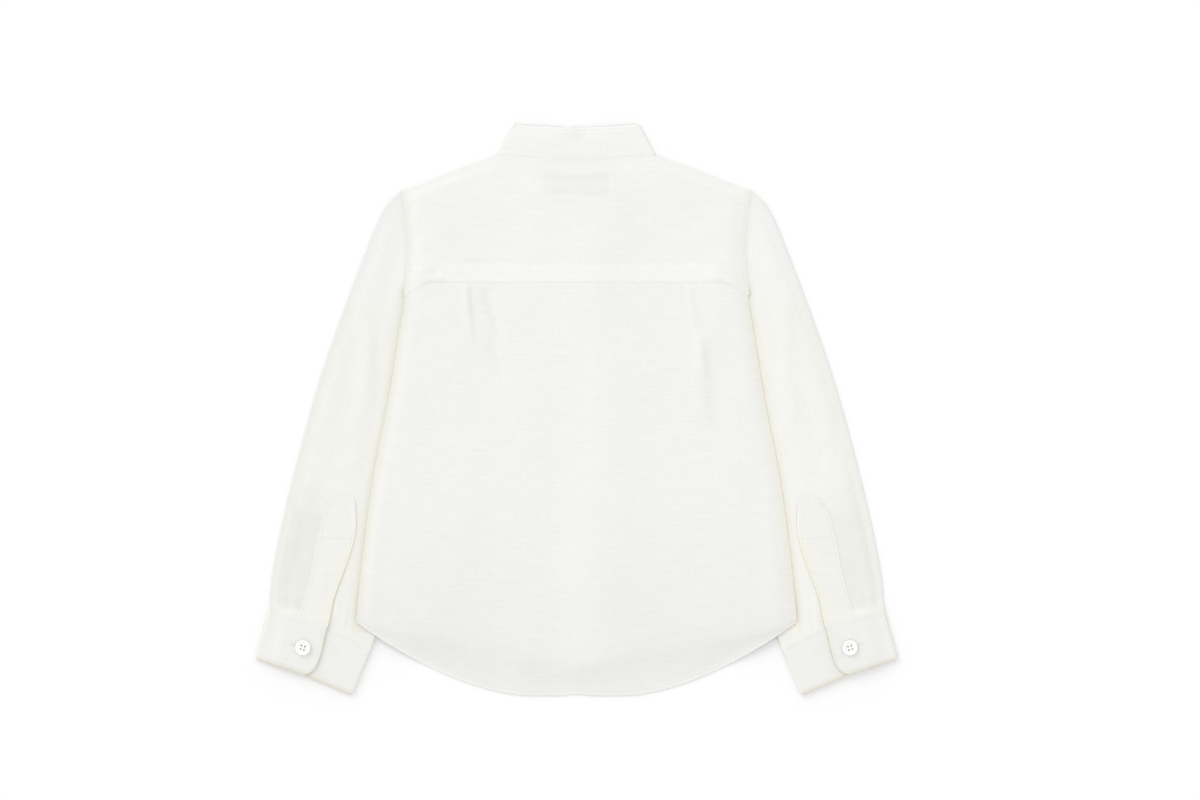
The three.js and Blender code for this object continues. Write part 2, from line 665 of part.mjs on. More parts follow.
// Cuff: from its rounded end over the outer fold, under the wrist and back to the underlap's end
function cuff(side) {
  const heights = [0, 0.33, 0.66, 1];
  const height = 2 * TURNED + GAP;
  const fold = (height - TURNED) / 2;
  const inset = height / 2;
  const lift = (at) => (TURNED + GAP) * smooth((at - OVERLAP_CLIMB[0]) / (OVERLAP_CLIMB[1] - OVERLAP_CLIMB[0]));
  const plan = (at, v) => new THREE.Vector2(
    mix(read(CUFF_TOP, 'at', 'half', at), read(CUFF_BOTTOM, 'at', 'half', at), v),
    mix(read(CUFF_TOP, 'at', 'y', at), read(CUFF_BOTTOM, 'at', 'y', at), v),
  );
  const outward = (at, v) => plan(at, v).sub(plan(mix(at, 0.5, 0.06), v)).normalize();
  const inner = (at, v) => {
    const p = plan(at, v);
    p.addScaledVector(outward(0, v), -inset * (1 - at));
    return p.addScaledVector(outward(1, v), -inset * at);
  };
  const onUpper = (at, v, z) => {
    const p = inner(at, v);
    return level(side * p.x, p.y, z, TURNED);
  };
  const onLower = (at, v) => {
    const placed = onUpper(at, v, 0);
    return { outer: placed.inner, inner: placed.outer };
  };
  const onEdge = (at, v, angle) => {
    const p = inner(at, v);
    const out = outward(at, v);
    const centre = new THREE.Vector3(side * p.x, p.y, height / 2);
    return onFold(centre, { x: side * out.x, y: out.y }, angle, fold, TURNED);
  };
  const turned = [Math.PI / 4, 0, -Math.PI / 4];
  const stations = [];
  for (let k = 0; k <= 4; k += 1) {
    const phi = (Math.PI / 2) * (1 - k / 4);
    const at = OVERLAP_END - OVERLAP_CORNER * (1 - Math.sin(phi));
    const reach = 1 - OVERLAP_CORNER_DEPTH * (1 - Math.cos(phi));
    stations.push((v) => onUpper(at, v * reach, height - TURNED + lift(at)));
  }
  [0.3, 0.24, 0.18, 0.12, 0.06, 0].forEach((at) => {
    stations.push((v) => onUpper(at, v, height - TURNED + lift(at)));
  });
  turned.forEach((angle) => stations.push((v) => onEdge(0, v, angle)));
  [0, 0.28, 0.56, 0.78, 1].forEach((at) => stations.push((v) => onLower(at, v)));
  [...turned].reverse().forEach((angle) => stations.push((v) => onEdge(1, v, angle)));
  [1, 0.78, 0.56, 0.4, UNDERLAP_END].forEach((at) => {
    stations.push((v) => onUpper(at, v, height - TURNED));
  });
  const name = side < 0 ? 'cuff_left' : 'cuff_right';
  return cloth(name, wall(stations.length, heights.length, (i, j) => stations[i](heights[j])));
}

const manifold = await Module();
manifold.setup();

function solidOf(geometry) {
  const bare = geometry.clone();
  bare.deleteAttribute('normal');
  bare.deleteAttribute('uv');
  const merged = mergeVertices(bare);
  return new manifold.Manifold(new manifold.Mesh({
    numProp: 3,
    vertProperties: merged.attributes.position.array,
    triVerts: Uint32Array.from(merged.index.array),
  }));
}

// Four-hole button with a rim and a dished face, standing on z = 0 with its face up
function buttonGeometry(thickness, segments, holeSides) {
  const floor = thickness - BUTTON_DISH;
  const profile = [
    [0, 0],
    [BUTTON_R - 0.7, 0],
    [BUTTON_R, 0.6],
    [BUTTON_R, thickness - 0.4],
    [BUTTON_R - 0.4, thickness],
    [BUTTON_R - BUTTON_RIM, thickness],
    [BUTTON_R - BUTTON_RIM - 0.6, floor],
    [0, floor],
  ].map(([r, z]) => new THREE.Vector2(r, z));
  const disc = new THREE.LatheGeometry(profile, segments).rotateX(Math.PI / 2);
  let body = solidOf(disc);
  for (const [sx, sy] of [[1, 1], [-1, 1], [-1, -1], [1, -1]]) {
    const hole = new THREE.CylinderGeometry(BUTTON_HOLE_R, BUTTON_HOLE_R, 3 * thickness, holeSides);
    hole.rotateX(Math.PI / 2).translate(sx * BUTTON_HOLE_PITCH, sy * BUTTON_HOLE_PITCH, thickness / 2);
    body = body.subtract(solidOf(hole));
  }
  const { vertProperties, triVerts } = body.getMesh();
  return closedGeometry([...vertProperties], [...triVerts]);
}

function button(name, geometry, x, y, z) {
  const piece = mesh(name, geometry, PEARL, 0.25);
  piece.position.set(x, y, z);
  return piece;
}

const blouse = new THREE.Group();
blouse.add(backPanel());
blouse.add(yoke());
blouse.add(frontPanel(-1), frontPanel(1));
blouse.add(closingBand('buttonhole_band', 0));
blouse.add(closingBand('button_band', LAYER));
blouse.add(collarBand());
blouse.add(neckLabel());
for (const side of [-1, 1]) {
  blouse.add(sleeve(side), ...placket(side), cuff(side));
}

const cuffButton = buttonGeometry(BUTTON_T, 20, 6);
const cuffTop = 3 * TURNED + 2 * GAP;
blouse.add(button('cuff_button_left', cuffButton, -CUFF_BUTTON.half, CUFF_BUTTON.y, cuffTop + GAP));
blouse.add(button('cuff_button_right', cuffButton, CUFF_BUTTON.half, CUFF_BUTTON.y, cuffTop + GAP));

// Buttons of the closing lie face down on the surface, under the buttonhole band
const hiddenButton = buttonGeometry(HIDDEN_BUTTON_T, 12, 5);
hiddenButton.rotateX(Math.PI).translate(0, 0, HIDDEN_BUTTON_T);
for (let k = 0; k < FRONT_BUTTONS; k += 1) {
  blouse.add(button(`front_button_${k + 1}`, hiddenButton, 0, FRONT_BUTTON_TOP - k * FRONT_BUTTON_STEP, 0));
}
blouse.add(button('collar_button', hiddenButton, 0, COLLAR_BUTTON_Y, 0));

export default blouse;
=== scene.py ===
# A child's ivory blouse laid flat with its back up: thin cloth shells, seams, stitching and buttons

import math

import bmesh
import bpy
import numpy as np
from mathutils import Matrix, Vector


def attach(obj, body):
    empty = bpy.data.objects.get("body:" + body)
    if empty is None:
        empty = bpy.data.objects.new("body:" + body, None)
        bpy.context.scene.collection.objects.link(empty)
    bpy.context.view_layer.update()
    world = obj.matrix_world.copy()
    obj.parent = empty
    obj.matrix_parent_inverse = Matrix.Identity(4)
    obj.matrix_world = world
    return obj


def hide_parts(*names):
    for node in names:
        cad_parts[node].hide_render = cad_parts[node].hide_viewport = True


bl_info = {
    "name": "Flat-laid blouse",
    "version": (1, 0, 0),
    "blender": (4, 5, 0),
    "location": "View3D > Sidebar > Blouse",
    "description": "Builds the cloth, stitching, buttons and stage of a blouse that lies flat",
    "category": "Object",
}

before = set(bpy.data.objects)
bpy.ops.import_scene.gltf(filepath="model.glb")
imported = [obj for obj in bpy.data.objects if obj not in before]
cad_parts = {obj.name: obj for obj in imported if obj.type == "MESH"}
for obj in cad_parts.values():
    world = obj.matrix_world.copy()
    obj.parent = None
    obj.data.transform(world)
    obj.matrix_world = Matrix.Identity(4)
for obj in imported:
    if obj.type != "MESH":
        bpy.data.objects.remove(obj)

# Sizes below are in millimetres, as the blouse's cut is; meshes are made in metres.
MM = 0.001
BODY = "root"
SIDES = ((-1, "left"), (1, "right"))

# Heights of the layers, as in the solids
WALL = 1.0
TURNED_WALL = 1.4
STAND_WALL = 1.2
SEAM_GAP = 0.3
LAYER = WALL + SEAM_GAP
SHELL = 0.42
BAND_SHELL = 0.7
LOFT = 0.7

# Collar and neck
NECK_HALF = 58.8
NECK_SIDE_Y = 189.6
NECK_BACK_Y = 185.3
NECK_FRONT_DROP = 58.6
COLLAR_TOP_HALF = 46.5
COLLAR_TOP_Y = 212.3
COLLAR_TOP_DIP = 2.2
COLLAR_FRONT_DROP = 56.7
COLLAR_END = 13.0

# Yoke, closing and hem
YOKE_SEAM_Y = 94.0
YOKE_SEAM_FALL = 9.6
YOKE_FALL_FROM = 108.0
YOKE_FRONT = 20.0
BAND_HALF = 15.0
HEM_Y = -213.0
HEM_RISE = 55.4
HEM_FLAT_HALF = 34.0
HEM_POWER = 1.72
HEM_DEPTH = 4.0
HEM_FOLD = HEM_DEPTH + 0.4
CORNER_Y = -157.9
CORNER_HALF = 164.7
# How far a panel's flat part ends inside its edge, and the fronts' corner at the neck
EDGE_INSET = 1.4
FRONT_CORNER = 55.3

# Edge of the body from the shoulder point to the corner of the hem, as rows of y and half width
BODY_SIDE = np.array([
    (163.2, 130.3), (144.9, 127.8), (126.3, 126.4), (111.4, 126.4), (89, 128.4), (76.4, 129.6),
    (51.8, 133.6), (7.1, 140.7), (-52.5, 152.1), (-109.7, 159.9), (CORNER_Y, CORNER_HALF),
])
# Shoulder edge from the neck outwards, as rows of half width and y
SHOULDER = np.array([
    (58.8, 189.6), (68.2, 185.9), (89.8, 178.4), (107.7, 171), (122, 165.4), (130.3, 163.2),
])
# Hem of the fronts, as rows of half width and y
FRONT_HEM = np.array([
    (0, -187), (23, -181.5), (61, -172), (98, -166), (135, -161.5), (164.7, -157.9),
])
# Folds of a sleeve, as rows of y and half width
SLEEVE_OUTER = np.array([
    (163.2, 130.6), (153.1, 140.5), (141.2, 147.2), (117.3, 156.9), (69.7, 174.8), (22, 191.2),
    (-25.7, 204.6), (-73.4, 216.5), (-121.1, 226.2), (-150.6, 229.1),
])
SLEEVE_INNER = np.array([
    (7.1, 90.5), (-32, 95), (-90, 116), (-140, 137), (-178.1, 153.3),
])
UNDERARM_Y = 89.0
UNDERARM_AT = 0.45
# Upper and lower edge of a cuff, as rows of share across, half width and y
CUFF_TOP = np.array([
    (0, 229.1, -150.9), (0.28, 207.5, -154.8), (0.56, 184.7, -161.6), (1, 153.1, -178.4),
])
CUFF_BOTTOM = np.array([
    (0, 238.8, -185.5), (0.28, 214, -193.3), (0.56, 194, -201), (1, 167.2, -212.2),
])
OVERLAP_END = 0.55
OVERLAP_CORNER = 0.15
OVERLAP_CORNER_DEPTH = 0.42
UNDERLAP_END = 0.24
OVERLAP_CLIMB = (0.06, 0.2)
# Edges of the placket strip, as rows of half width and y, from its round top to the cuff
PLACKET_OUTER = np.array([
    (174, -63.6), (181.4, -66.4), (187, -76), (191.1, -89),
    (194.4, -103.9), (198.8, -125.5), (203.3, -141.9), (207.6, -155.4),
])
PLACKET_OPENING = np.array([
    (166.6, -64), (165, -69.5), (164.4, -78.5), (164.6, -90),
    (167.2, -103.6), (173.9, -122.5), (180.2, -140), (185, -162.1),
])
# Slit in a sleeve's upper layer: its edges across and its start along
SLIT_AT = (0.446, 0.46)
SLIT_FROM = 0.76
# Widths and lengths that shades and grain go by
SLEEVE_WIDTH = 95.0
SLEEVE_GRAIN = (105.0, 330.0)
PLACKET_WIDTH = 20.0
CUFF_LENGTH = 75.0
CUFF_DEPTH = 37.0

# Heights that lift the body over what lies under it
OVER_SLEEVE = 2 * WALL + SEAM_GAP + 0.5
OVER_CUFF = 2 * TURNED_WALL + SEAM_GAP + 0.4
LIFT_KEEP = 8.0
LIFT_REACH = 40.0
RIDGE_HEIGHT = 1.9
RIDGE_FULL = 8.0
RIDGE_REACH = 20.0
BRIDGE = 60.0

# Tucks under the yoke: fold at the seam, lean, length, width, height and side that it faces
TUCKS = ((-78.6, 8.0, 52.0, 8.0, 1.5, 1), (80.4, 9.0, 96.0, 9.0, 1.2, -1))
TUCK_EDGE = 1.9
TUCK_PULL = 24.0
SEAM_ALLOWANCE = 14.0

# Soft creases as rows of start x and y, end x and y, half width and height, negative for a trough
BODY_CREASES = (
    (-66.7, 90, -57.5, 62, 4, -1.7),
    (-58, 66, -55, 20, 6, -1.3),
    (-66, 40, -70, -20, 14, -0.7),
    (94, 56, 96.5, -6, 4.6, 1.9),
    (108, 40, 112, -24, 8, -0.6),
    (116, 20, 122, -60, 14, 0.6),
    (-112, 40, -122, -50, 12, 0.6),
    (-128, 60, -136, 8, 7, 0.5),
    (127, 66, 134, 12, 7, 0.5),
    (-24, 60, -34, -40, 16, 0.5),
    (30, 30, 38, -90, 18, 0.5),
    (-70, -60, -82, -150, 16, 0.5),
    (76, -70, 92, -160, 15, 0.5),
    (-6, -3, 14, -5, 2.2, 0.3),
    (-146, -60, -152, -140, 6, 0.8),
    (146, -50, 153, -138, 6, 0.8),
)
YOKE_CREASES = (
    (-116, 92, -98, 100, 4, 1.3),
    (-122, 98, -104, 112, 5, 0.9),
    (115, 91, 96, 100, 4, 1.3),
    (122, 99, 106, 114, 5, 0.9),
    (-120, 150, -92, 122, 7, 0.6),
    (118, 148, 94, 124, 7, 0.6),
    (-104, 158, -60, 150, 8, 0.4),
    (100, 160, 62, 148, 8, 0.4),
    (-40, 150, -52, 112, 9, -0.4),
    (44, 146, 50, 110, 9, -0.4),
)
COLLAR_CREASES = (
    (-8, 212, 0, 196, 5, -0.7),
    (9, 211, 2, 198, 4, -0.5),
    (-30, 208, -12, 199, 5, 0.4),
    (28, 209, 14, 198, 5, 0.4),
)
SLEEVE_CREASES = (
    (158, 88, 166, -20, 7, 1.3),
    (150, 60, 158, -50, 5, -0.7),
    (178, 60, 190, -10, 8, 0.7),
    (142, 140, 152, 96, 6, 0.8),
    (186, -10, 200, -60, 8, 0.8),
    (160, -30, 176, -46, 5, 0.6),
    (200, -40, 216, -110, 6, 0.6),
    (196, -20, 178, -40, 5, -0.5),
    (205, -80, 218, -140, 5, -0.5),
    (136, 120, 146, 70, 5, -0.4),
    (178, -140, 181, -165, 1.8, 0.8),
    (172, -146, 175, -168, 1.6, 0.9),
    (166, -152, 169, -171, 1.7, 0.7),
    (161, -154, 163, -174, 1.5, 0.6),
    (212, -136, 213, -152, 2.5, 0.5),
    (220, -132, 221, -151, 2.5, 0.4),
)
CUFF_CREASES = (
    (216, -160, 226, -184, 5, 0.4),
    (172, -176, 182, -200, 5, 0.5),
    (196, -168, 202, -186, 6, -0.3),
)

# Long shallow waves of the cloth, as rows of wave numbers along x and y, phase and share
WAVES = (
    (0.071, 0.013, 0.4, 1), (-0.038, 0.052, 1.9, 0.8), (0.118, -0.031, 4.1, 0.5),
    (0.025, 0.093, 2.6, 0.5), (-0.151, 0.044, 5.2, 0.3), (0.083, 0.127, 0.9, 0.25),
)
WAVE_HEIGHT = 0.16

# Half width and lower edge of the cooler cloth over the label
LABEL_SHADOW = (36.0, 158.0)
# Tone zones of the body, as rows of centre x and y, half sizes, softness and tone added
BODY_TONES = (
    (0, -30, BAND_HALF, 168, 5, 0.012),
    (0, -135, BAND_HALF, 40, 9, 0.011),
    (0, 101, 104, 7, 1.6, 0.022),
    (0, 177.5, 34, 8, 2, -0.022),
    (0, 168, 24, 8, 1, -0.032),
    (0, -196, 60, 14, 30, 0.014),
    (0, -200, 400, 90, 120, -0.03),
)
SINGLE_LAYER_TONE = -0.018
HEM_TONE = (-0.012, 0.012)
# Painted light along the hem's edge and the collar's top edge, against the dark of their contact
# shade
RIM_PAINTED_LIGHT = 0.06
SEAM_STRIP_TONE = 0.012
# Painted shade along the yoke's seam
SEAM_PAINTED_SHADE = 0.02
YOKE_TONE = 0.008
COLLAR_TONE = 0.02
CUFF_TONE = -0.018
WRIST_TONE = -0.06
# Tone of the left and right sleeve; the right one is raised by painted light, where the lamp from
# the left leaves it darker
SLEEVE_TONE_AND_LIGHT = (0.009, 0.024)
# Painted shade towards a sleeve's outer fold, left and right
OUTER_PAINTED_SHADE = (0.045, 0.025)

# Share of the warm tint in each piece of cloth, and of the painted warm shade where layers meet at
# an edge
BODY_WARMTH = 0.09
SLEEVE_WARMTH = (0.02, 0.15)
CUFF_WARMTH = 0.1
COLLAR_WARMTH = 0.05
# Painted warm shade and painted shade along the armhole, painted warm shade along the body's side
# fold, stronger low on it, and along the placket's opening and the cuffs' edges
ARMHOLE_WARM_SHADE = 0.17
ARMHOLE_PAINTED_SHADE = 0.055
FOLD_WARM_SHADE = 0.3
LOW_FOLD_WARM_SHADE = 0.25
LOW_FOLD_SHADE_Y = -97.0
OPENING_WARM_SHADE = 0.7

# Middle heights of the layers where they meet at a seam or an edge
SEAM_SLIT = 0.02
MOUTH_TUCK = 0.6
WRIST_TUCK = 0.8
SEAM_SINK = 0.07
CORNER_LAP = 1.1
ARMHOLE_CLEAR = 0.9
NECK_EDGE_Z = 1.64
SHOULDER_EDGE_Z = 1.2
SLEEVE_EDGE_Z = 0.95
SLEEVE_TOP_Z = 2.39
OVER_FRONT = 0.95
HEM_Z = 0.42
COLLAR_Z = (0.35, 1.5)
CUFF_Z = (0.35, 2.75)
PLACKET_SHELL = 0.4
PLACKET_BASE = 0.25
PLACKET_RISE = 0.42

# Buttons
BUTTON_R = 5.7
CUFF_BUTTON = (203.5, -177.2)
CUFF_BUTTON_T = 1.9
CUFF_TOP_Z = 3 * TURNED_WALL + 2 * SEAM_GAP + 0.05
BUTTON_TURN = 0.3
FRONT_BUTTON_T = 1.6
FRONT_BUTTON_TOP = 116.0
FRONT_BUTTON_STEP = 50.0
FRONT_BUTTONS = 6
COLLAR_BUTTON_Y = 143.0
HOLE_R = 0.62
HOLE_PITCH = 1.35

# Stitches
STITCH_LENGTH = 2.1
STITCH_PITCH = 2.7
STITCH_WIDTH = 0.42
STITCH_HEIGHT = 0.26
STITCH_LIFT = 0.05

# Label, photograph's scale, its view and the light
LABEL_HALF = 24.0
LABEL_TOP_Y = 183.5
LABEL_DEPTH = 17.0
MM_PER_PIXEL = 0.745
PHOTO_WIDTH = 1200
PHOTO_HEIGHT = 800
CENTRE_PIXEL = (576.5, 409.5)
CAMERA_HEIGHT = 3.2
KEY_FROM = (-1.3, 1.3, 1.0)
KEY_SPREAD = 30
FLOOR_HALF = 6.0
FLOOR_DROP = 0.0002

# Noise scales along and across the threads, in turns a metre
WOBBLE_SCALE = (140.0, 140.0, 1.0)
WEFT_SCALE = (48.0, 500.0, 1.0)
WARP_SCALE = (560.0, 70.0, 1.0)


def smooth(t):
    c = np.clip(t, 0.0, 1.0)
    return c * c * (3 - 2 * c)


def mix(a, b, t):
    return a + (b - a) * t


def read(table, value, column=1):
    """Smooth curve through a table's rows: its other column where the first one has the value."""
    keys, knots = table[:, 0], table[:, column]
    if keys[0] > keys[-1]:
        keys, knots = keys[::-1], knots[::-1]
    slopes = np.empty(len(keys))
    slopes[1:-1] = (knots[2:] - knots[:-2]) / (keys[2:] - keys[:-2])
    slopes[0] = (knots[1] - knots[0]) / (keys[1] - keys[0])
    slopes[-1] = (knots[-1] - knots[-2]) / (keys[-1] - keys[-2])
    v = np.asarray(value, float)
    inside = np.clip(v, keys[0], keys[-1])
    k = np.clip(np.searchsorted(keys, inside) - 1, 0, len(keys) - 2)
    span = keys[k + 1] - keys[k]
    t = (inside - keys[k]) / span
    t2, t3 = t * t, t * t * t
    ends = (2 * t3 - 3 * t2 + 1) * knots[k] + (3 * t2 - 2 * t3) * knots[k + 1]
    turn = ((t3 - 2 * t2 + t) * slopes[k] + (t3 - t2) * slopes[k + 1]) * span
    past = np.where(v < keys[0], slopes[0] * (v - keys[0]), slopes[-1] * (v - inside))
    return ends + turn + np.where(v == inside, 0.0, past)


def point_on(table, t):
    """Place at t on a line whose rows are t and two coordinates."""
    return np.array([read(table, t, 1), read(table, t, 2)])


def fold_point(table, t):
    """Place at a share of the way down a fold whose rows are y and half width."""
    y = mix(table[0, 0], table[-1, 0], t)
    return np.array([read(table, y), y])


def outward(a, b):
    """Unit directions in plan from places b to places a."""
    way = a - b
    return way / np.linalg.norm(way, axis=0)


def side_half(y):
    return read(BODY_SIDE, y)


def shoulder_y(x):
    return read(SHOULDER, np.abs(x))


def front_hem_y(x):
    return read(FRONT_HEM, np.abs(x))


def hem_y(x):
    u = np.maximum(0.0, np.abs(x) - HEM_FLAT_HALF) / (CORNER_HALF - HEM_FLAT_HALF)
    notch = 1.3 * np.exp(-(np.asarray(x) / 7.0) ** 2)
    return HEM_Y + HEM_RISE * u ** HEM_POWER + notch


SEAM_HALF = float(side_half(YOKE_SEAM_Y - YOKE_SEAM_FALL))
SHOULDER_HALF = BODY_SIDE[0, 1]


def yoke_seam_y(x):
    past = np.maximum(0.0, np.abs(x) - YOKE_FALL_FROM) / (SEAM_HALF - YOKE_FALL_FROM)
    return YOKE_SEAM_Y - YOKE_SEAM_FALL * past ** 1.3


def neck_back_y(x):
    return mix(NECK_BACK_Y, NECK_SIDE_Y, (x / NECK_HALF) ** 2)


def back_top_y(x):
    return np.where(np.abs(x) < NECK_HALF, neck_back_y(x), shoulder_y(x))


def neck_front_y(x):
    s = np.minimum(1.0, np.abs(x) / NECK_HALF)
    return NECK_SIDE_Y - NECK_FRONT_DROP * np.sqrt(1 - s * s)


UNDER_OUTLINE = [(float(side_half(UNDERARM_Y)), UNDERARM_Y)]
UNDER_OUTLINE += [(half, y) for y, half in SLEEVE_INNER]
UNDER_OUTLINE += [tuple(CUFF_BOTTOM[-1, 1:])]


def clear_of_sleeve(x, y):
    """Distance in plan to the sleeve and cuff that lie under the body, 0 above them."""
    px = np.abs(x)
    nearest = np.full(np.shape(px), np.inf)
    inside = np.zeros(np.shape(px), bool)
    for (ax, ay), (bx, by) in zip(UNDER_OUTLINE, UNDER_OUTLINE[1:]):
        dx, dy = bx - ax, by - ay
        t = np.clip(((px - ax) * dx + (y - ay) * dy) / (dx * dx + dy * dy), 0, 1)
        nearest = np.minimum(nearest, np.hypot(px - ax - dx * t, y - ay - dy * t))
        inside |= (y <= ay) & (y > by) & (px > ax + dx * (y - ay) / dy)
    return np.where(inside, 0.0, nearest)


def sleeve_lift(x, y, reach=LIFT_REACH):
    """How far the sleeve and cuff under the body lift it, less and less beside them."""
    full = mix(OVER_SLEEVE, OVER_CUFF, smooth((-118 - y) / 30))
    return full * smooth(1 - (clear_of_sleeve(x, y) - LIFT_KEEP) / reach)


def ridge(x, reach=RIDGE_REACH):
    """How far the buttons under the closing lift what lies on them."""
    return RIDGE_HEIGHT * smooth(1 - (np.abs(x) - RIDGE_FULL) / reach)


def front_under(x, y):
    return sleeve_lift(x, y) + ridge(x)


def climb(x, height):
    """How far the left front's side is lifted onto the right front at the closing."""
    return height * smooth((x + 28) / 12)


def back_under(x, y):
    """Underside of the back: it bridges over the sleeves, the closing and the fronts' hem."""
    neck = (STAND_WALL - WALL) * smooth((y - 100) / 24)
    bands = (LAYER + 2 * neck) * smooth((17 + BRIDGE - np.abs(x)) / BRIDGE)
    closing = (ridge(x, BRIDGE + 20) + bands) * smooth((184 - y) / 22)
    below = front_hem_y(x) - y
    fronts = smooth(1 - below / np.maximum(6.0, front_hem_y(x) - hem_y(x)))
    return sleeve_lift(x, y, 2 * LIFT_REACH) + (LAYER + 0.2 + neck + closing) * fronts


def waves(x, y):
    return sum(share * np.sin(kx * x + ky * y + phase) for kx, ky, phase, share in WAVES)


def creases(table, x, y):
    """Height of the soft troughs and ridges of a table at each place."""
    height = np.zeros(np.shape(x))
    for ax, ay, bx, by, width, rise in table:
        dx, dy = bx - ax, by - ay
        length = math.hypot(dx, dy)
        along = ((x - ax) * dx + (y - ay) * dy) / length
        bow = 0.06 * length * np.sin(np.clip(along / length, 0, 1) * math.pi)
        across = ((x - ax) * dy - (y - ay) * dx) / length - bow
        ends = 0.35 * length
        fade = smooth(along / ends + 0.4) * smooth((length - along) / ends + 0.4)
        height = height + rise * np.exp(-(across / width) ** 2) * fade
    return height


def plain(x, tone=0.0, warmth=BODY_WARMTH):
    """The same tone and warm tint all over a piece."""
    return np.full(np.shape(x), tone), np.full(np.shape(x), warmth)


def near_line(distance, reach, power=1.5):
    """1 on a line and less beside it."""
    return np.exp(-(np.maximum(0.0, distance) / reach) ** power)


def painted_fold_shading(distance, side, reach=3.6, depth=0.075):
    """Painted shade beside a side fold, broad and soft, and painted light at the line itself, which
    is dark of itself; more light on the right, which the lamp leaves darker.
    """
    painted_light = np.where(side > 0, 0.13, 0.03)
    return painted_light * near_line(distance, 1.2) - depth * near_line(distance, reach, 2.5)


def tones(table, x, y):
    """Sum of a table's tone zones at each place."""
    tone = np.zeros(np.shape(x))
    for cx, cy, half_x, half_y, soft, amount in table:
        inside_x = smooth((half_x - np.abs(x - cx)) / (3 * soft) + 0.5)
        inside_y = smooth((half_y - np.abs(y - cy)) / soft + 0.5)
        tone = tone + amount * inside_x * inside_y
    return tone


def spaced(low, high, step, extra=()):
    """Even places from low to high, with further ones at lines that show."""
    count = max(2, int(round(abs(high - low) / step)) + 1)
    even = np.linspace(low, high, count)
    keep = [v for v in even if all(abs(v - e) > 0.45 * step for e in extra)]
    return np.array(sorted(set([low, high, *keep, *extra])))


def stations(*counts):
    """Even stretches, from 0 to 1, 1 to 2 and so on, each with its own count of places."""
    stretches = [n + np.linspace(0, 1, count)[min(n, 1):] for n, count in enumerate(counts)]
    return np.concatenate(stretches)


# Making of meshes and materials


def grid_mesh(columns, rows, place, keep=None, weld=False):
    """A grid laid out by `place`: x, y, z in millimetres, tone and warmth, and its grain."""
    bm = bmesh.new()
    bmesh.ops.create_grid(bm, x_segments=len(columns) - 1, y_segments=len(rows) - 1, size=0.5)
    bm.verts.ensure_lookup_table()
    at = np.array([v.co[:2] for v in bm.verts])
    col = np.rint((at[:, 0] + 0.5) * (len(columns) - 1)).astype(int)
    row = np.rint((at[:, 1] + 0.5) * (len(rows) - 1)).astype(int)
    u, v = np.asarray(columns)[col], np.asarray(rows)[row]
    x, y, z, (tone, warmth), grain = place(u, v)
    tone_layer = bm.verts.layers.float.new("tone")
    warmth_layer = bm.verts.layers.float.new("warmth")
    uv_layer = bm.loops.layers.uv.new("UVMap")
    for k, vert in enumerate(bm.verts):
        vert.co = (x[k] * MM, y[k] * MM, z[k] * MM)
        vert[tone_layer] = 1.0 + tone[k]
        vert[warmth_layer] = warmth[k]
    gx, gy = grain
    for face in bm.faces:
        for loop in face.loops:
            k = loop.vert.index
            loop[uv_layer].uv = (gx[k] * MM, gy[k] * MM)
    if keep is not None:
        gone = [f for f in bm.faces if not keep(*(_middle(f, values) for values in (u, v)))]
        bmesh.ops.delete(bm, geom=gone, context="FACES")
    if weld:
        bmesh.ops.remove_doubles(bm, verts=bm.verts, dist=0.02 * MM)
    bmesh.ops.recalc_face_normals(bm, faces=bm.faces)
    for edge in bm.edges:
        edge.smooth = not edge.is_boundary
    return bm


def _middle(face, values):
    return sum(values[v.index] for v in face.verts) / len(face.verts)


def finish_piece(name, bm, material, thickness=None, smooth_shading=True):
    """Turns a bmesh into an object at the origin that rides on the body."""
    mesh = bpy.data.meshes.new(name)
    bm.to_mesh(mesh)
    bm.free()
    mesh.materials.append(material)
    mesh.polygons.foreach_set("use_smooth", [smooth_shading] * len(mesh.polygons))
    piece = bpy.data.objects.new(name, mesh)
    bpy.context.scene.collection.objects.link(piece)
    if thickness is not None:
        wall = piece.modifiers.new("Cloth", "SOLIDIFY")
        wall.thickness = thickness * MM
        wall.offset = 0.0
        wall.use_rim = True
    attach(piece, BODY)
    return piece


def cloth_piece(name, node, columns, rows, place, thickness=SHELL, keep=None, weld=False, up=True):
    """A cloth shell that stands for the CAD node of the same form."""
    bm = grid_mesh(columns, rows, place, keep, weld)
    area = sum(f.calc_area() for f in bm.faces)
    if not weld:
        total = sum((f.normal.z * f.calc_area() for f in bm.faces), 0.0)
        if (total < 0) == up:
            bmesh.ops.reverse_faces(bm, faces=bm.faces)
    piece = finish_piece(name, bm, material_named("cloth"), thickness)
    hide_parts(node)
    piece["cut_area"] = area
    return piece


def node_group(name, inputs, outputs):
    group = bpy.data.node_groups.new(name, "ShaderNodeTree")
    for label, kind, default in inputs:
        socket = group.interface.new_socket(label, in_out="INPUT", socket_type=kind)
        if default is not None:
            socket.default_value = default
    for label, kind in outputs:
        group.interface.new_socket(label, in_out="OUTPUT", socket_type=kind)
    return group, group.nodes.new("NodeGroupInput"), group.nodes.new("NodeGroupOutput")


def math_node(tree, operation, a, b=None, clamp=False):
    node = tree.nodes.new("ShaderNodeMath")
    node.operation = operation
    node.use_clamp = clamp
    for socket, value in zip(node.inputs, (a, b)):
        if value is None:
            continue
        if isinstance(value, (int, float)):
            socket.default_value = value
        else:
            tree.links.new(value, socket)
    return node.outputs[0]


def streaks(tree, vector, scale, detail):
    """Noise drawn out along one direction of the vector."""
    mapping = tree.nodes.new("ShaderNodeMapping")
    mapping.inputs["Scale"].default_value = scale
    tree.links.new(vector, mapping.inputs["Vector"])
    noise = tree.nodes.new("ShaderNodeTexNoise")
    noise.inputs["Scale"].default_value = 1.0
    noise.inputs["Detail"].default_value = detail
    noise.inputs["Roughness"].default_value = 0.55
    tree.links.new(mapping.outputs[0], noise.inputs["Vector"])
    return noise.outputs["Fac"]


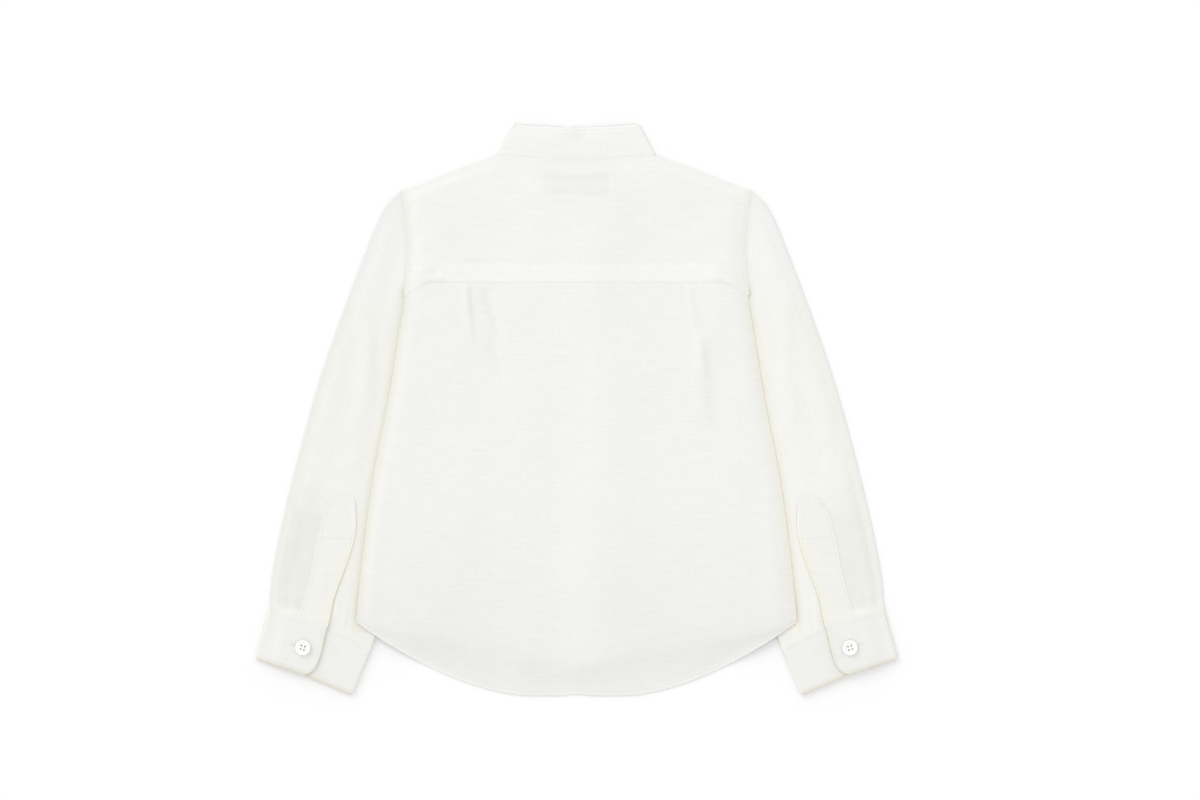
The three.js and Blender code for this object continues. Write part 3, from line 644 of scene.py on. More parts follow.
def weave_group():
    """Plain weave with slubs: a height for bump and a slub mask, from flat cloth coordinates."""
    group, source, result = node_group(
        "Slub weave",
        [("Cloth", "NodeSocketVector", None), ("Thread pitch", "NodeSocketFloat", 0.0008)],
        [("Height", "NodeSocketFloat"), ("Slubs", "NodeSocketFloat")],
    )
    cloth = source.outputs["Cloth"]
    split = group.nodes.new("ShaderNodeSeparateXYZ")
    group.links.new(cloth, split.inputs[0])
    wobble = streaks(group, cloth, WOBBLE_SCALE, 2.0)
    threads = []
    for axis in (0, 1):
        turn = math_node(group, "DIVIDE", split.outputs[axis], source.outputs["Thread pitch"])
        turn = math_node(group, "ADD", turn, math_node(group, "MULTIPLY", wobble, 3.0))
        threads.append(math_node(group, "SINE", math_node(group, "MULTIPLY", turn, math.pi)))
    over = math_node(group, "MULTIPLY", threads[0], threads[1])
    weft = streaks(group, cloth, WEFT_SCALE, 2.0)
    warp = streaks(group, cloth, WARP_SCALE, 2.0)
    slub = math_node(group, "MULTIPLY", math_node(group, "SUBTRACT", weft, 0.5), 1.6)
    fine = math_node(group, "MULTIPLY", math_node(group, "SUBTRACT", warp, 0.5), 1.05)
    slubs = math_node(group, "ADD", slub, fine)
    height = math_node(group, "ADD", math_node(group, "MULTIPLY", over, 0.35), slubs)
    group.links.new(height, result.inputs["Height"])
    group.links.new(slubs, result.inputs["Slubs"])
    return group


def mottle_group():
    """Broad soft unevenness, as cloth and worn plastic have."""
    group, source, result = node_group(
        "Soft mottle",
        [("Place", "NodeSocketVector", None), ("Spots per metre", "NodeSocketFloat", 20.0)],
        [("Mottle", "NodeSocketFloat")],
    )
    noise = group.nodes.new("ShaderNodeTexNoise")
    noise.inputs["Detail"].default_value = 3.0
    group.links.new(source.outputs["Place"], noise.inputs["Vector"])
    group.links.new(source.outputs["Spots per metre"], noise.inputs["Scale"])
    mottle = math_node(group, "SUBTRACT", noise.outputs["Fac"], 0.5)
    group.links.new(mottle, result.inputs["Mottle"])
    return group


def use_group(tree, name, **values):
    """A node of that group, made the first time, with its sockets set or linked."""
    maker = {"Slub weave": weave_group, "Soft mottle": mottle_group}[name]
    node = tree.nodes.new("ShaderNodeGroup")
    node.node_tree = bpy.data.node_groups.get(name) or maker()
    for label, value in values.items():
        socket = node.inputs[label.replace("_", " ")]
        if isinstance(value, (int, float)):
            socket.default_value = value
        else:
            tree.links.new(value, socket)
    return node


def new_material(name, roughness, sheen=0.0, coat=0.0):
    material = bpy.data.materials.new(name)
    material.use_nodes = True
    shader = material.node_tree.nodes["Principled BSDF"]
    shader.inputs["Roughness"].default_value = roughness
    shader.inputs["Sheen Weight"].default_value = sheen
    shader.inputs["Sheen Roughness"].default_value = 0.5
    shader.inputs["Coat Weight"].default_value = coat
    return material, material.node_tree, shader


def tinted(tree, colour, factor):
    """The colour, made lighter or darker by a factor that changes over the surface."""
    node = tree.nodes.new("ShaderNodeVectorMath")
    node.operation = "SCALE"
    node.inputs[0].default_value = colour[:3]
    tree.links.new(factor, node.inputs["Scale"])
    return node.outputs[0]


def bump(tree, height, strength, distance):
    node = tree.nodes.new("ShaderNodeBump")
    node.inputs["Strength"].default_value = strength
    node.inputs["Distance"].default_value = distance
    tree.links.new(height, node.inputs["Height"])
    return node.outputs["Normal"]


def cloth_material(settings):
    """Ivory slubbed cloth: weave along each piece's own grain, tone from what lies under it; the
    tone and warmth attributes also carry painted light, painted shade and painted warm shade.
    """
    material, tree, shader = new_material("Ivory slub cloth", 0.92, sheen=0.12)
    shader.inputs["Specular IOR Level"].default_value = 0.15
    uv = tree.nodes.new("ShaderNodeUVMap")
    uv.uv_map = "UVMap"
    tone = tree.nodes.new("ShaderNodeAttribute")
    tone.attribute_name = "tone"
    weave = use_group(tree, "Slub weave", Cloth=uv.outputs[0], Thread_pitch=settings.thread_pitch)
    mottle = use_group(tree, "Soft mottle", Place=uv.outputs[0], Spots_per_metre=22.0)
    slub_tint = math_node(tree, "MULTIPLY", weave.outputs["Slubs"], settings.slub_strength)
    mottle_tint = math_node(tree, "MULTIPLY", mottle.outputs[0], 0.012)
    tint = math_node(tree, "ADD", slub_tint, mottle_tint)
    factor = math_node(tree, "ADD", tone.outputs["Fac"], tint)
    warmth = tree.nodes.new("ShaderNodeAttribute")
    warmth.attribute_name = "warmth"
    warmed = tree.nodes.new("ShaderNodeMix")
    warmed.data_type = "RGBA"
    warmed.blend_type = "MULTIPLY"
    warmed.inputs["B"].default_value = (*settings.warm_shade, 1.0)
    tree.links.new(warmth.outputs["Fac"], warmed.inputs["Factor"])
    tree.links.new(tinted(tree, settings.cloth_colour, factor), warmed.inputs["A"])
    tree.links.new(warmed.outputs["Result"], shader.inputs["Base Color"])
    tree.links.new(bump(tree, weave.outputs["Height"], 0.35, 0.0001), shader.inputs["Normal"])
    return material


def ribbed_material(title, roughness, colour, direction, scale, painted_light, ground):
    """Fine ribs of thread in one direction, with painted light on their tops."""
    material, tree, shader = new_material(title, roughness, sheen=0.1)
    place = tree.nodes.new("ShaderNodeTexCoord")
    ribs = tree.nodes.new("ShaderNodeTexWave")
    ribs.bands_direction = direction
    ribs.inputs["Scale"].default_value = scale
    tree.links.new(place.outputs["Object"], ribs.inputs["Vector"])
    painted_top_light = math_node(tree, "MULTIPLY", ribs.outputs["Fac"], painted_light)
    factor = math_node(tree, "ADD", painted_top_light, ground)
    tree.links.new(tinted(tree, colour, factor), shader.inputs["Base Color"])
    tree.links.new(bump(tree, ribs.outputs["Fac"], 0.3, 0.00005), shader.inputs["Normal"])
    return material


def thread_material(settings):
    """Sewing thread: fine slanting twist on ivory."""
    colour = settings.thread_colour
    return ribbed_material("Ivory thread", 0.75, colour, "DIAGONAL", 900.0, 0.03, 0.985)


def label_material(settings):
    """Plain woven tape with fine cross ribs."""
    return ribbed_material("Woven label", 0.6, settings.label_colour, "Y", 500.0, 0.05, 0.96)


def button_material(settings):
    """Pearly moulded button: cloudy swirls and a clear coat."""
    material, tree, shader = new_material("Pearly button", 0.22, coat=0.4)
    place = tree.nodes.new("ShaderNodeTexCoord")
    mottle = use_group(tree, "Soft mottle", Place=place.outputs["Object"], Spots_per_metre=380.0)
    cloud = math_node(tree, "ADD", math_node(tree, "MULTIPLY", mottle.outputs[0], 0.16), 1.0)
    tree.links.new(tinted(tree, settings.button_colour, cloud), shader.inputs["Base Color"])
    tree.links.new(bump(tree, mottle.outputs[0], 0.1, 0.0001), shader.inputs["Normal"])
    return material


def floor_material():
    """Plain white paper under the blouse."""
    material, tree, shader = new_material("White paper", 0.95)
    shader.inputs["Specular IOR Level"].default_value = 0.0
    place = tree.nodes.new("ShaderNodeTexCoord")
    mottle = use_group(tree, "Soft mottle", Place=place.outputs["Object"], Spots_per_metre=3.0)
    factor = math_node(tree, "ADD", math_node(tree, "MULTIPLY", mottle.outputs[0], 0.004), 1.0)
    tree.links.new(tinted(tree, (0.9, 0.9, 0.9), factor), shader.inputs["Base Color"])
    return material


def material_named(key):
    """The blouse's material of that kind, made the first time."""
    maker, title = {
        "cloth": (cloth_material, "Ivory slub cloth"),
        "thread": (thread_material, "Ivory thread"),
        "button": (button_material, "Pearly button"),
        "label": (label_material, "Woven label"),
    }[key]
    return bpy.data.materials.get(title) or maker(bpy.context.scene.blouse)


# Lower back and yoke

FLAT_HALF = SEAM_HALF - EDGE_INSET
ROLL = 1.35 * math.pi


def side_roll(x, over, upper, lower):
    """Turns the edge columns round the side fold, from the upper height to the lower one."""
    radius = (upper - lower) / 2
    angle = np.clip(over / ROLL, 0, 1) * math.pi
    return x + np.sign(x) * radius * np.sin(angle), upper - radius * (1 - np.cos(angle))


def body_height(x, y):
    """Middle of the back's cloth: it sinks towards its sides, hem, neck and shoulders."""
    height = back_under(x, y) + WALL - SHELL / 2 + LOFT + WAVE_HEIGHT * waves(x, y)
    inside = side_half(y) - np.abs(x)
    at_side = np.maximum(SLEEVE_TOP_Z, front_under(x, y) + OVER_FRONT)
    height = mix(height, at_side, smooth((13 - inside) / 13))
    strip = np.maximum(5.0, front_hem_y(x) - hem_y(x) - 3)
    past = smooth(1 - (y - hem_y(x)) / strip) * smooth((-y - 150) / 8)
    height = mix(height, HEM_Z + sleeve_lift(x, y), past)
    top_z = mix(NECK_EDGE_Z, SHOULDER_EDGE_Z, smooth((np.abs(x) - NECK_HALF - 1) / 8))
    return mix(height, top_z, smooth((10 + y - back_top_y(x)) / 9))


def tuck_raise(column, below):
    """Height of the tucks' folds at a column of the back and a distance below its seam."""
    raised = np.zeros(np.shape(column))
    for fold, _, length, width, height, faces in TUCKS:
        across = (fold - column) * faces
        on_fold = smooth(across / TUCK_EDGE) * smooth((width - across) / (0.7 * width))
        raised = np.maximum(raised, height * on_fold * smooth((length - below) / (0.6 * length)))
    return raised


def back_place(u, v):
    """Lower back: u is x at the yoke seam, then round the side fold; v runs to the hem."""
    flat = np.clip(u, -FLAT_HALF, FLAT_HALF)
    over = np.abs(u) - FLAT_HALF
    share = np.minimum(v, 1.0)
    side_y = mix(yoke_seam_y(SEAM_HALF) - SEAM_GAP, CORNER_Y, share)
    fan = (side_half(side_y) - EDGE_INSET) / FLAT_HALF
    fan_end = (CORNER_HALF - EDGE_INSET) / FLAT_HALF
    hem = hem_y(flat * fan_end)
    top = yoke_seam_y(u) - SEAM_SLIT
    y = np.where(v <= 1, mix(top, hem + HEM_FOLD, share), hem + HEM_FOLD * (2 - v))
    x = flat * fan
    below = yoke_seam_y(flat) - y
    for fold, lean, length, *_ in TUCKS:
        near = smooth(1 - np.abs(flat - fold) / TUCK_PULL)
        x = x + lean * near * smooth(below / length) * smooth((220 - below) / 150)
    in_hem = smooth((HEM_DEPTH - (y - hem)) / 0.35 + 0.5)
    sewn = smooth(below / 4)
    rise = (creases(BODY_CREASES, x, y) + tuck_raise(flat, below)) * sewn
    inside = side_half(y) - np.abs(x)
    upper = body_height(x, y) + rise * smooth(inside / 10) + 0.2 * in_hem
    lower = front_under(x, y) + SHELL / 2
    x, z = side_roll(x, over, upper, lower)
    past_fronts = smooth((front_hem_y(x) - y + 12) / 24 + 0.03 * waves(x, y)) * (1 - in_hem)
    in_hem_tone = mix(*HEM_TONE, smooth((np.abs(x) - 40) / 50)) * in_hem
    tone = tones(BODY_TONES, x, y) + in_hem_tone + SINGLE_LAYER_TONE * past_fronts
    seam_strip = smooth((8.5 - inside) / 1.5) * smooth((-20 - y) / 60) * (1 - in_hem)
    tone = tone + SEAM_STRIP_TONE * seam_strip
    # Painted warm shade along the side fold, stronger low on it, and painted light along the hem's
    # edge; the side fold also gets painted light and painted shade
    low = LOW_FOLD_WARM_SHADE * np.exp(-((y - LOW_FOLD_SHADE_Y) / 30) ** 2)
    warmth = BODY_WARMTH * (1 - past_fronts) + (FOLD_WARM_SHADE + low) * near_line(inside, 4.2, 2.5)
    rim = RIM_PAINTED_LIGHT * near_line(y - hem, 0.9)
    return x, y, z, (tone + rim + painted_fold_shading(inside, x), warmth), (x, y)


def yoke_place(u, v):
    """Yoke: v runs from its seam to 1 at the shoulder fold, round it to 2, down in front to 3."""
    share = 1 - np.minimum(v, 1.0)
    fan = SHOULDER_HALF / SEAM_HALF
    top = u * fan
    on_shoulder = np.abs(top) > NECK_HALF
    shoulder_fold = (SHOULDER_EDGE_Z - SHELL / 2) / 2 + SHELL / 2
    fold_y = back_top_y(top) - np.where(on_shoulder, shoulder_fold, SEAM_SLIT)
    y = mix(fold_y, yoke_seam_y(u), share)
    x = top / SHOULDER_HALF * side_half(mix(BODY_SIDE[0, 0], yoke_seam_y(SEAM_HALF), share))
    from_armhole = side_half(y) - np.abs(x)
    above_seam = y - yoke_seam_y(u)
    allowance = smooth((SEAM_ALLOWANCE - above_seam) / 2.0) * smooth(above_seam / 2.5)
    rise = creases(YOKE_CREASES, x, y) * smooth(above_seam / 3) * smooth((back_top_y(x) - y) / 8)
    upper = body_height(x, y) + (0.3 * allowance + rise) * smooth(from_armhole / 6)
    turn = np.clip(v - 1, 0, 1) * math.pi
    lower = SHELL / 2
    radius = (upper - lower) / 2
    z = upper - radius * (1 - np.cos(turn))
    y = y + radius * np.sin(turn)
    down = np.clip(v - 2, 0, 1)
    y = y - down * (YOKE_FRONT - EDGE_INSET)
    on_front = smooth((v - 1) / 0.4)
    armhole = side_half(np.minimum(y, BODY_SIDE[0, 0])) - ARMHOLE_CLEAR
    x = mix(x, top / SHOULDER_HALF * armhole, on_front)
    on_back = smooth((1.2 - v) / 0.2)
    over_label = smooth((LABEL_SHADOW[0] - np.abs(x)) / 5) * smooth((y - LABEL_SHADOW[1]) / 4)
    # Painted warm shade along the armhole; painted shade along the armhole and along the yoke's
    # seam
    armhole_warm_shade = ARMHOLE_WARM_SHADE * near_line(from_armhole, 1.8) * on_back
    warmth = BODY_WARMTH * (1 - over_label) + armhole_warm_shade
    shaded = ARMHOLE_PAINTED_SHADE * near_line(from_armhole, 2.0) + SEAM_PAINTED_SHADE * near_line(above_seam, 0.9)
    tone = YOKE_TONE + tones(BODY_TONES, x, y) - shaded * on_back
    return x, y, z, (tone, warmth), (x, y)


def front_place(side):
    inner = BAND_HALF + SEAM_GAP

    def place(u, v):
        across = (u - inner) / (FLAT_HALF - inner)
        top = np.where(u < FRONT_CORNER, neck_front_y(u), shoulder_y(u) - YOKE_FRONT) - SEAM_GAP
        side_y = mix(float(shoulder_y(FLAT_HALF)) - YOKE_FRONT, CORNER_Y, v)
        edge = side_half(side_y) - mix(ARMHOLE_CLEAR, 2.0, smooth((104 - side_y) / 12))
        x = side * mix(inner, edge, across)
        y = mix(top, front_hem_y(mix(inner, CORNER_HALF - 2.0, across)), v)
        rise = climb(x, LAYER) if side < 0 else 0.0
        z = front_under(x, y) + rise + SHELL / 2
        return x, y, z, plain(x), (x, y)

    return place


def band_place(raised):
    def place(u, v):
        y = mix(neck_front_y(u) - SEAM_GAP, front_hem_y(u), v)
        z = front_under(u, y) + raised + SHELL / 2
        return u, y, z, plain(u), (u, y)

    return place


def make_body():
    roll = [FLAT_HALF + ROLL * k / 6 for k in range(1, 7)]
    shifts = (-TUCK_EDGE, -1.0, 0.0, 0.8)
    tuck_lines = [fold + faces * shift for fold, *_, faces in TUCKS for shift in shifts]
    flat = spaced(-FLAT_HALF, FLAT_HALF, 2.3, tuck_lines)
    columns = np.concatenate([[-u for u in reversed(roll)], flat, roll])
    rows = stations(128, 10)
    back = cloth_piece("Back_panel", "back_panel", columns, rows, back_place)

    columns = spaced(-SEAM_HALF, SEAM_HALF, 2.3, (-NECK_HALF * 0.99, NECK_HALF * 0.99))
    rows = stations(44, 7, 8)
    neck_column = NECK_HALF * 0.985
    yoke = cloth_piece("Yoke", "yoke", columns, rows, yoke_place,
                       keep=lambda u, v: v < 1 or abs(u) > neck_column)

    inner = BAND_HALF + SEAM_GAP
    for side, word in SIDES:
        columns = spaced(inner, FLAT_HALF, 5.0, (FRONT_CORNER,))
        front = cloth_piece(f"Front_{word}", f"front_{word}", columns, np.linspace(0, 1, 70),
                            front_place(side), up=False)
    columns = np.linspace(-BAND_HALF, BAND_HALF, 13)
    for name, raised in (("Buttonhole_band", 0.0), ("Button_band", LAYER)):
        band = cloth_piece(name, name.lower(), columns, np.linspace(0, 1, 110), band_place(raised),
                           up=False)


# Collar and label

def collar_place(u, v):
    """Collar band: u runs right front 0 to 1, fold to 2, back to 3, fold to 4, left front to 5."""
    lower, upper = COLLAR_Z
    fold = (upper - lower) / 2
    inset = fold + 0.3
    half = mix(NECK_HALF, COLLAR_TOP_HALF, v) - inset
    end = COLLAR_END / NECK_HALF
    right, left = u <= 1, u >= 4
    sine = np.where(right, mix(-end, 1, u), np.where(left, mix(1, -end, u - 4), 1.0))
    side = np.where(left, -1.0, 1.0)
    cosine = np.sqrt(np.maximum(0, 1 - sine * sine))
    front_x = side * half * sine
    to_corner = np.where(right | left, sine, np.abs(5 - 2 * u))
    corner = smooth((to_corner - 0.93) / 0.07) * smooth(1 - v / 0.2)
    front_y = mix(NECK_SIDE_Y - NECK_FRONT_DROP * cosine,
                  COLLAR_TOP_Y - COLLAR_FRONT_DROP * cosine, v)
    lifted = np.where(left, climb(front_x, STAND_WALL + SEAM_GAP), 0.0)
    front_z = ridge(front_x) + lower + lifted
    share = np.clip(5 - 2 * u, -1, 1)
    back_x = share * half
    top = COLLAR_TOP_Y - COLLAR_TOP_DIP * (1 - share * share)
    back_y = mix(neck_back_y(back_x), top, v)
    puff = np.sin(np.clip(v, 0, 1) * math.pi) * (1 - share ** 4)
    sunk = (upper - lower - BAND_SHELL) * smooth((v - 0.86) / 0.14)
    back_z = upper - sunk + 0.9 * puff + creases(COLLAR_CREASES, back_x, back_y) * smooth(v / 0.15)
    turn = np.where(u < 2.5, u - 1, 4 - u)
    angle = np.clip(turn, 0, 1) * math.pi - math.pi / 2
    fold_x = np.where(u < 2.5, 1.0, -1.0) * (half + fold * np.cos(angle))
    fold_y = mix(NECK_SIDE_Y, COLLAR_TOP_Y, v)
    fold_z = (upper + lower) / 2 + fold * np.sin(angle)
    on_front, on_back = right | left, (u >= 2) & (u <= 3)
    x = np.where(on_front, front_x, np.where(on_back, back_x, fold_x))
    y = np.where(on_front, front_y, np.where(on_back, back_y, fold_y)) - CORNER_LAP * corner
    z = np.where(on_front, front_z, np.where(on_back, back_z, fold_z))
    z = z + SEAM_SINK * corner * on_back
    grain = (np.where(on_back, back_x, x + 100 * u), y)
    tone, warmth = plain(u, COLLAR_TONE, COLLAR_WARMTH)
    # Painted light along the top edge and painted shade in the dimple at the middle of the collar
    dimple_shade = np.exp(-(x / 8) ** 2) * smooth((v - 0.25) / 0.5)
    return x, y, z, (tone + RIM_PAINTED_LIGHT * near_line((1 - v) * 24, 1.2) - 0.03 * dimple_shade, warmth), grain


def make_collar():
    columns = stations(40, 8, 60, 8, 40)
    rows = spaced(0.0, 1.0, 0.07, (0.03, 0.97))
    collar = cloth_piece("Collar_band", "collar_band", columns, rows, collar_place, BAND_SHELL)

    label_columns = np.linspace(-LABEL_HALF, LABEL_HALF, 17)
    label_rows = np.linspace(0, 1, 8)

    def label_place(u, v):
        y = LABEL_TOP_Y - LABEL_DEPTH * v
        z = SEAM_GAP + 0.45 + 0.2 * np.sin(u / 9.0) * v
        return u, y, z, plain(u), (u, y)

    bm = grid_mesh(label_columns, label_rows, label_place)
    label = finish_piece("Neck_label", bm, material_named("label"), 0.35)
    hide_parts("neck_label")
    label["cut_area"] = 2 * LABEL_HALF * LABEL_DEPTH * MM * MM


# Sleeves, plackets and cuffs

def sleeve_plan(along, across):
    """Place in plan on a right sleeve: along to the cuff, across from outer to inner fold."""
    def mouth(t):
        first = np.minimum(t / UNDERARM_AT, 1.0)
        y = mix(SLEEVE_OUTER[0, 0], UNDERARM_Y, first)
        under = 5.0 * smooth((100 - y) / 12)
        armhole = np.array([side_half(y) - under, y])
        start = np.array([side_half(UNDERARM_Y) - 5.0, UNDERARM_Y])[:, None]
        past = np.clip((t - UNDERARM_AT) / (1 - UNDERARM_AT), 0, 1)
        hidden = start + (fold_point(SLEEVE_INNER, np.zeros_like(t)) - start) * past
        return np.where(t <= UNDERARM_AT, armhole, hidden)

    def between_ends(t):
        return mix(mouth(t), point_on(CUFF_TOP, t), along)

    zero, one = np.zeros_like(along), np.ones_like(along)
    between_folds = mix(fold_point(SLEEVE_OUTER, along), fold_point(SLEEVE_INNER, along), across)
    return between_folds + between_ends(across) - mix(between_ends(zero), between_ends(one), across)


def sleeve_top(x, y, across):
    """Middle of a sleeve's upper layer: low at its outer fold and where it goes under the body."""
    puffed = 0.9 * np.sin(np.clip(across, 0, 1) * math.pi) + WAVE_HEIGHT * waves(x, y) \
        + creases(SLEEVE_CREASES, x, y)
    clear = smooth((x - side_half(np.maximum(y, CORNER_Y)) - 0.5) / 9)
    height = SLEEVE_TOP_Z + puffed * clear * smooth((across - 0.01) / 0.1)
    return mix(SLEEVE_EDGE_Z, height, smooth((across + 0.02) / 0.13))


def wrist_top(across):
    """Middle of the sleeve's upper layer at the cuff, flush with the cuff's top."""
    level = CUFF_Z[1] + (BAND_SHELL - SHELL) / 2 - SEAM_SINK
    under_placket = (PLACKET_SHELL + 0.05) * smooth((across - 0.24) / 0.04)
    return level + np.where(across < SLIT_AT[0] + 0.002, cuff_lift(across) - under_placket, 0.0)


def sleeve_shade(x, y, along, across, side):
    """The wrist's outer side is thin, so it shows darker; along the body's edge and the armhole lie
    painted warm shade and painted shade, with painted light on the right, and painted shade towards
    the outer fold.
    """
    low = smooth((along - 0.63) / 0.15) * smooth((0.984 - along) / 0.006)
    strip = smooth((0.36 - across) / 0.03 + 0.5) * smooth((across - 0.05) / 0.02 + 0.5)
    from_body = np.where(y > CORNER_Y - 8, x - side_half(np.maximum(y, CORNER_Y)), 20.0)
    below_arm = smooth((100 - y) / 14)
    armhole_warm_shade = ARMHOLE_WARM_SHADE * near_line(from_body, 1.8)
    body_edge_warm_shade = mix(armhole_warm_shade, FOLD_WARM_SHADE * near_line(from_body, 3.0, 2.0), below_arm)
    shade = SLEEVE_TONE_AND_LIGHT[side > 0] + painted_fold_shading(from_body, side, 3.0, 0.06) * below_arm
    shade = shade + WRIST_TONE * low * strip
    shade = shade - ARMHOLE_PAINTED_SHADE * near_line(from_body, 2.0) * (1 - below_arm)
    from_fold = np.maximum(0.0, across) * SLEEVE_WIDTH
    # Painted shade towards the outer fold, and more right at it
    shade = shade - OUTER_PAINTED_SHADE[side > 0] * near_line(from_fold, 10)
    shade = shade - 0.03 * near_line(from_fold, 1.2)
    return shade, mix(*SLEEVE_WARMTH, smooth((105 - y) / 40)) + body_edge_warm_shade


def sleeve_place(side):
    def place(u, v):
        """u is along; v goes round: underside to 1, outer fold to 2, top to 3, inner fold to 4."""
        across = np.select([v <= 1, v <= 2, v <= 3], [1 - v, 0 * v, v - 2], 1.0)
        p = sleeve_plan(u, across)
        zero = 0 * across
        out = outward(sleeve_plan(u, zero), sleeve_plan(u, zero + 0.05))
        inn = outward(sleeve_plan(u, zero + 1), sleeve_plan(u, zero + 0.95))
        mouth, wrist = smooth(1 - u / 0.045), smooth((u - 0.97) / 0.03)
        p = p - np.array([MOUTH_TUCK * mouth, WRIST_TUCK * wrist])
        on_armhole = body_height(side_half(p[1]), p[1]) - SEAM_SINK
        on_armhole = mix(on_armhole, SLEEVE_TOP_Z, smooth((97 - p[1]) / 11))
        upper = mix(sleeve_top(p[0], p[1], across), on_armhole, mouth)
        upper = mix(upper, wrist_top(across), wrist)
        lower = SHELL / 2
        radius = (upper - lower) / 2
        p = p - out * radius * (1 - across) - inn * radius * across
        turn = np.where(v <= 2, np.clip(v - 1, 0, 1), 1 - np.clip(v - 3, 0, 1)) * math.pi
        turn = np.where((v <= 1) | ((v > 2) & (v <= 3)), 0.0, turn)
        bulge = np.where(v <= 2, 1.0, 0.0) * out + np.where(v > 3, 1.0, 0.0) * inn
        p = p + bulge * radius * np.sin(turn)
        flat_z = np.where(v <= 1, lower, upper)
        z = np.where(turn > 0, (upper + lower) / 2 - radius * np.cos(turn), flat_z)
        z = np.where((v > 3) & (turn == 0), lower, z)
        tone, warmth = sleeve_shade(*p, u, across, side)
        in_sight = (v > 1.9) & (v <= 3)
        tone, warmth = np.where(in_sight, tone, 0.0), np.where(in_sight, warmth, BODY_WARMTH)
        grain = (across * SLEEVE_GRAIN[0] + 400 * (v <= 1), -u * SLEEVE_GRAIN[1])
        return side * p[0], p[1], z, (tone, warmth), grain

    return place


def placket_edges(v):
    """Places on the outer edge and on the opening's edge of the placket strip."""
    rows = np.arange(len(PLACKET_OUTER), dtype=float)[:, None]
    at = v * (len(rows) - 1)
    return [point_on(np.hstack([rows, edge]), at) for edge in (PLACKET_OUTER, PLACKET_OPENING)]


def placket_place(side, low_share, high_share, first, base, rise):
    """A strip on the slit between two shares of the placket's width, from a share of its length."""
    def place(u, v):
        """u runs across from the outer edge to the opening, v from the round top to the cuff."""
        a, b = placket_edges(mix(first, 1.0, v))
        p = mix(a, b, mix(low_share, high_share, u))
        z = sleeve_top_at(p) + base + rise * smooth((u - 0.12) / 0.4) * smooth(v / 0.27)
        z = z + 0.15 * np.sin(v * 9.0) * smooth((u - 0.7) / 0.3)
        if rise > 0:
            end_z = CUFF_Z[1] + cuff_lift(0.4) + (BAND_SHELL - PLACKET_SHELL) / 2 - SEAM_SINK
            z = mix(z, end_z, smooth((v - 0.9) / 0.1))
        # Painted light along the opening's edge, against the shadow of its step, and painted warm
        # shade there lower down
        at_opening = near_line((1 - u) * PLACKET_WIDTH, 1.5)
        parted = smooth((v - 0.3) / 0.25)
        warmth = SLEEVE_WARMTH[1] + OPENING_WARM_SHADE * parted * at_opening
        shade = ((0.09 - 0.03 * parted) * at_opening, warmth)
        return side * p[0], p[1], z, shade, (p[0] * 0.94 - p[1] * 0.3, p[1])

    return place


def strip_place(side):
    """The whole placket strip, on top of the sleeve."""
    return placket_place(side, 0.0, 1.0, 0.0, PLACKET_BASE, PLACKET_RISE)


def sleeve_top_at(p):
    """Height of the sleeve's upper layer under a place of the placket."""
    share = np.clip((read(SLEEVE_OUTER, p[1]) - p[0]) / SLEEVE_WIDTH, 0, 1)
    return sleeve_top(p[0], p[1], share) + SHELL / 2


def cuff_plan(at, v):
    """Place in plan on a right cuff: share across from the outer fold, v from the sleeve down."""
    return mix(point_on(CUFF_TOP, at), point_on(CUFF_BOTTOM, at), v)


def cuff_lift(at):
    """How far the overlapping end of a cuff is lifted over the underlap."""
    start, end = OVERLAP_CLIMB
    return (TURNED_WALL + SEAM_GAP) * smooth((at - start) / (end - start))


def cuff_place(side):
    lower, upper = CUFF_Z
    radius = (upper - lower) / 2

    def place(u, v):
        """u: overlap to 1, outer fold to 2, underside to 3, inner fold to 4, underlap to 5."""
        at = np.select(
            [u <= 1, u <= 2, u <= 3, u <= 4],
            [OVERLAP_END * (1 - u), 0 * u, u - 2, 0 * u + 1], mix(1, UNDERLAP_END, u - 4))
        zero = 0 * at
        rounding = np.clip((at - OVERLAP_END + OVERLAP_CORNER) / OVERLAP_CORNER, 0, 1) * (u <= 1)
        reach = 1 - OVERLAP_CORNER_DEPTH * (1 - np.sqrt(1 - rounding ** 2))
        p = cuff_plan(at, v * reach)
        out = outward(cuff_plan(zero, v), cuff_plan(zero + 0.06, v))
        inn = outward(cuff_plan(zero + 1, v), cuff_plan(zero + 0.94, v))
        p = p - out * radius * (1 - at) - inn * radius * at
        outer_fold, inner_fold = (u > 1) & (u <= 2), (u > 3) & (u <= 4)
        turn = np.where(outer_fold, 2 - u, np.where(inner_fold, u - 3, 0.0)) * math.pi
        p = p + (out * outer_fold + inn * inner_fold) * radius * np.sin(turn)
        on_top = upper + cuff_lift(at) + creases(CUFF_CREASES, p[0], p[1])
        on_fold = (upper + lower) / 2 - radius * np.cos(turn)
        z = np.select([u <= 1, u <= 2, u <= 3, u <= 4], [on_top, on_fold, lower + zero, on_fold],
                      upper + zero)
        # Painted shade and painted warm shade along the cuff's lower edge, and painted warm shade
        # along the overlap's end
        mouth = near_line((1 - v) * CUFF_DEPTH, 1.3)
        overlap = 0.7 * near_line((OVERLAP_END - at) * CUFF_LENGTH, 1.4) * (u <= 1)
        warmth = CUFF_WARMTH + OPENING_WARM_SHADE * np.maximum(mouth, overlap)
        grain = (p[0] * 0.94 + p[1] * 0.34, p[1] * 0.94 - p[0] * 0.34 + 300 * (u > 2))
        return side * p[0], p[1], z, (CUFF_TONE - 0.12 * mouth + zero, warmth + zero), grain

    return place


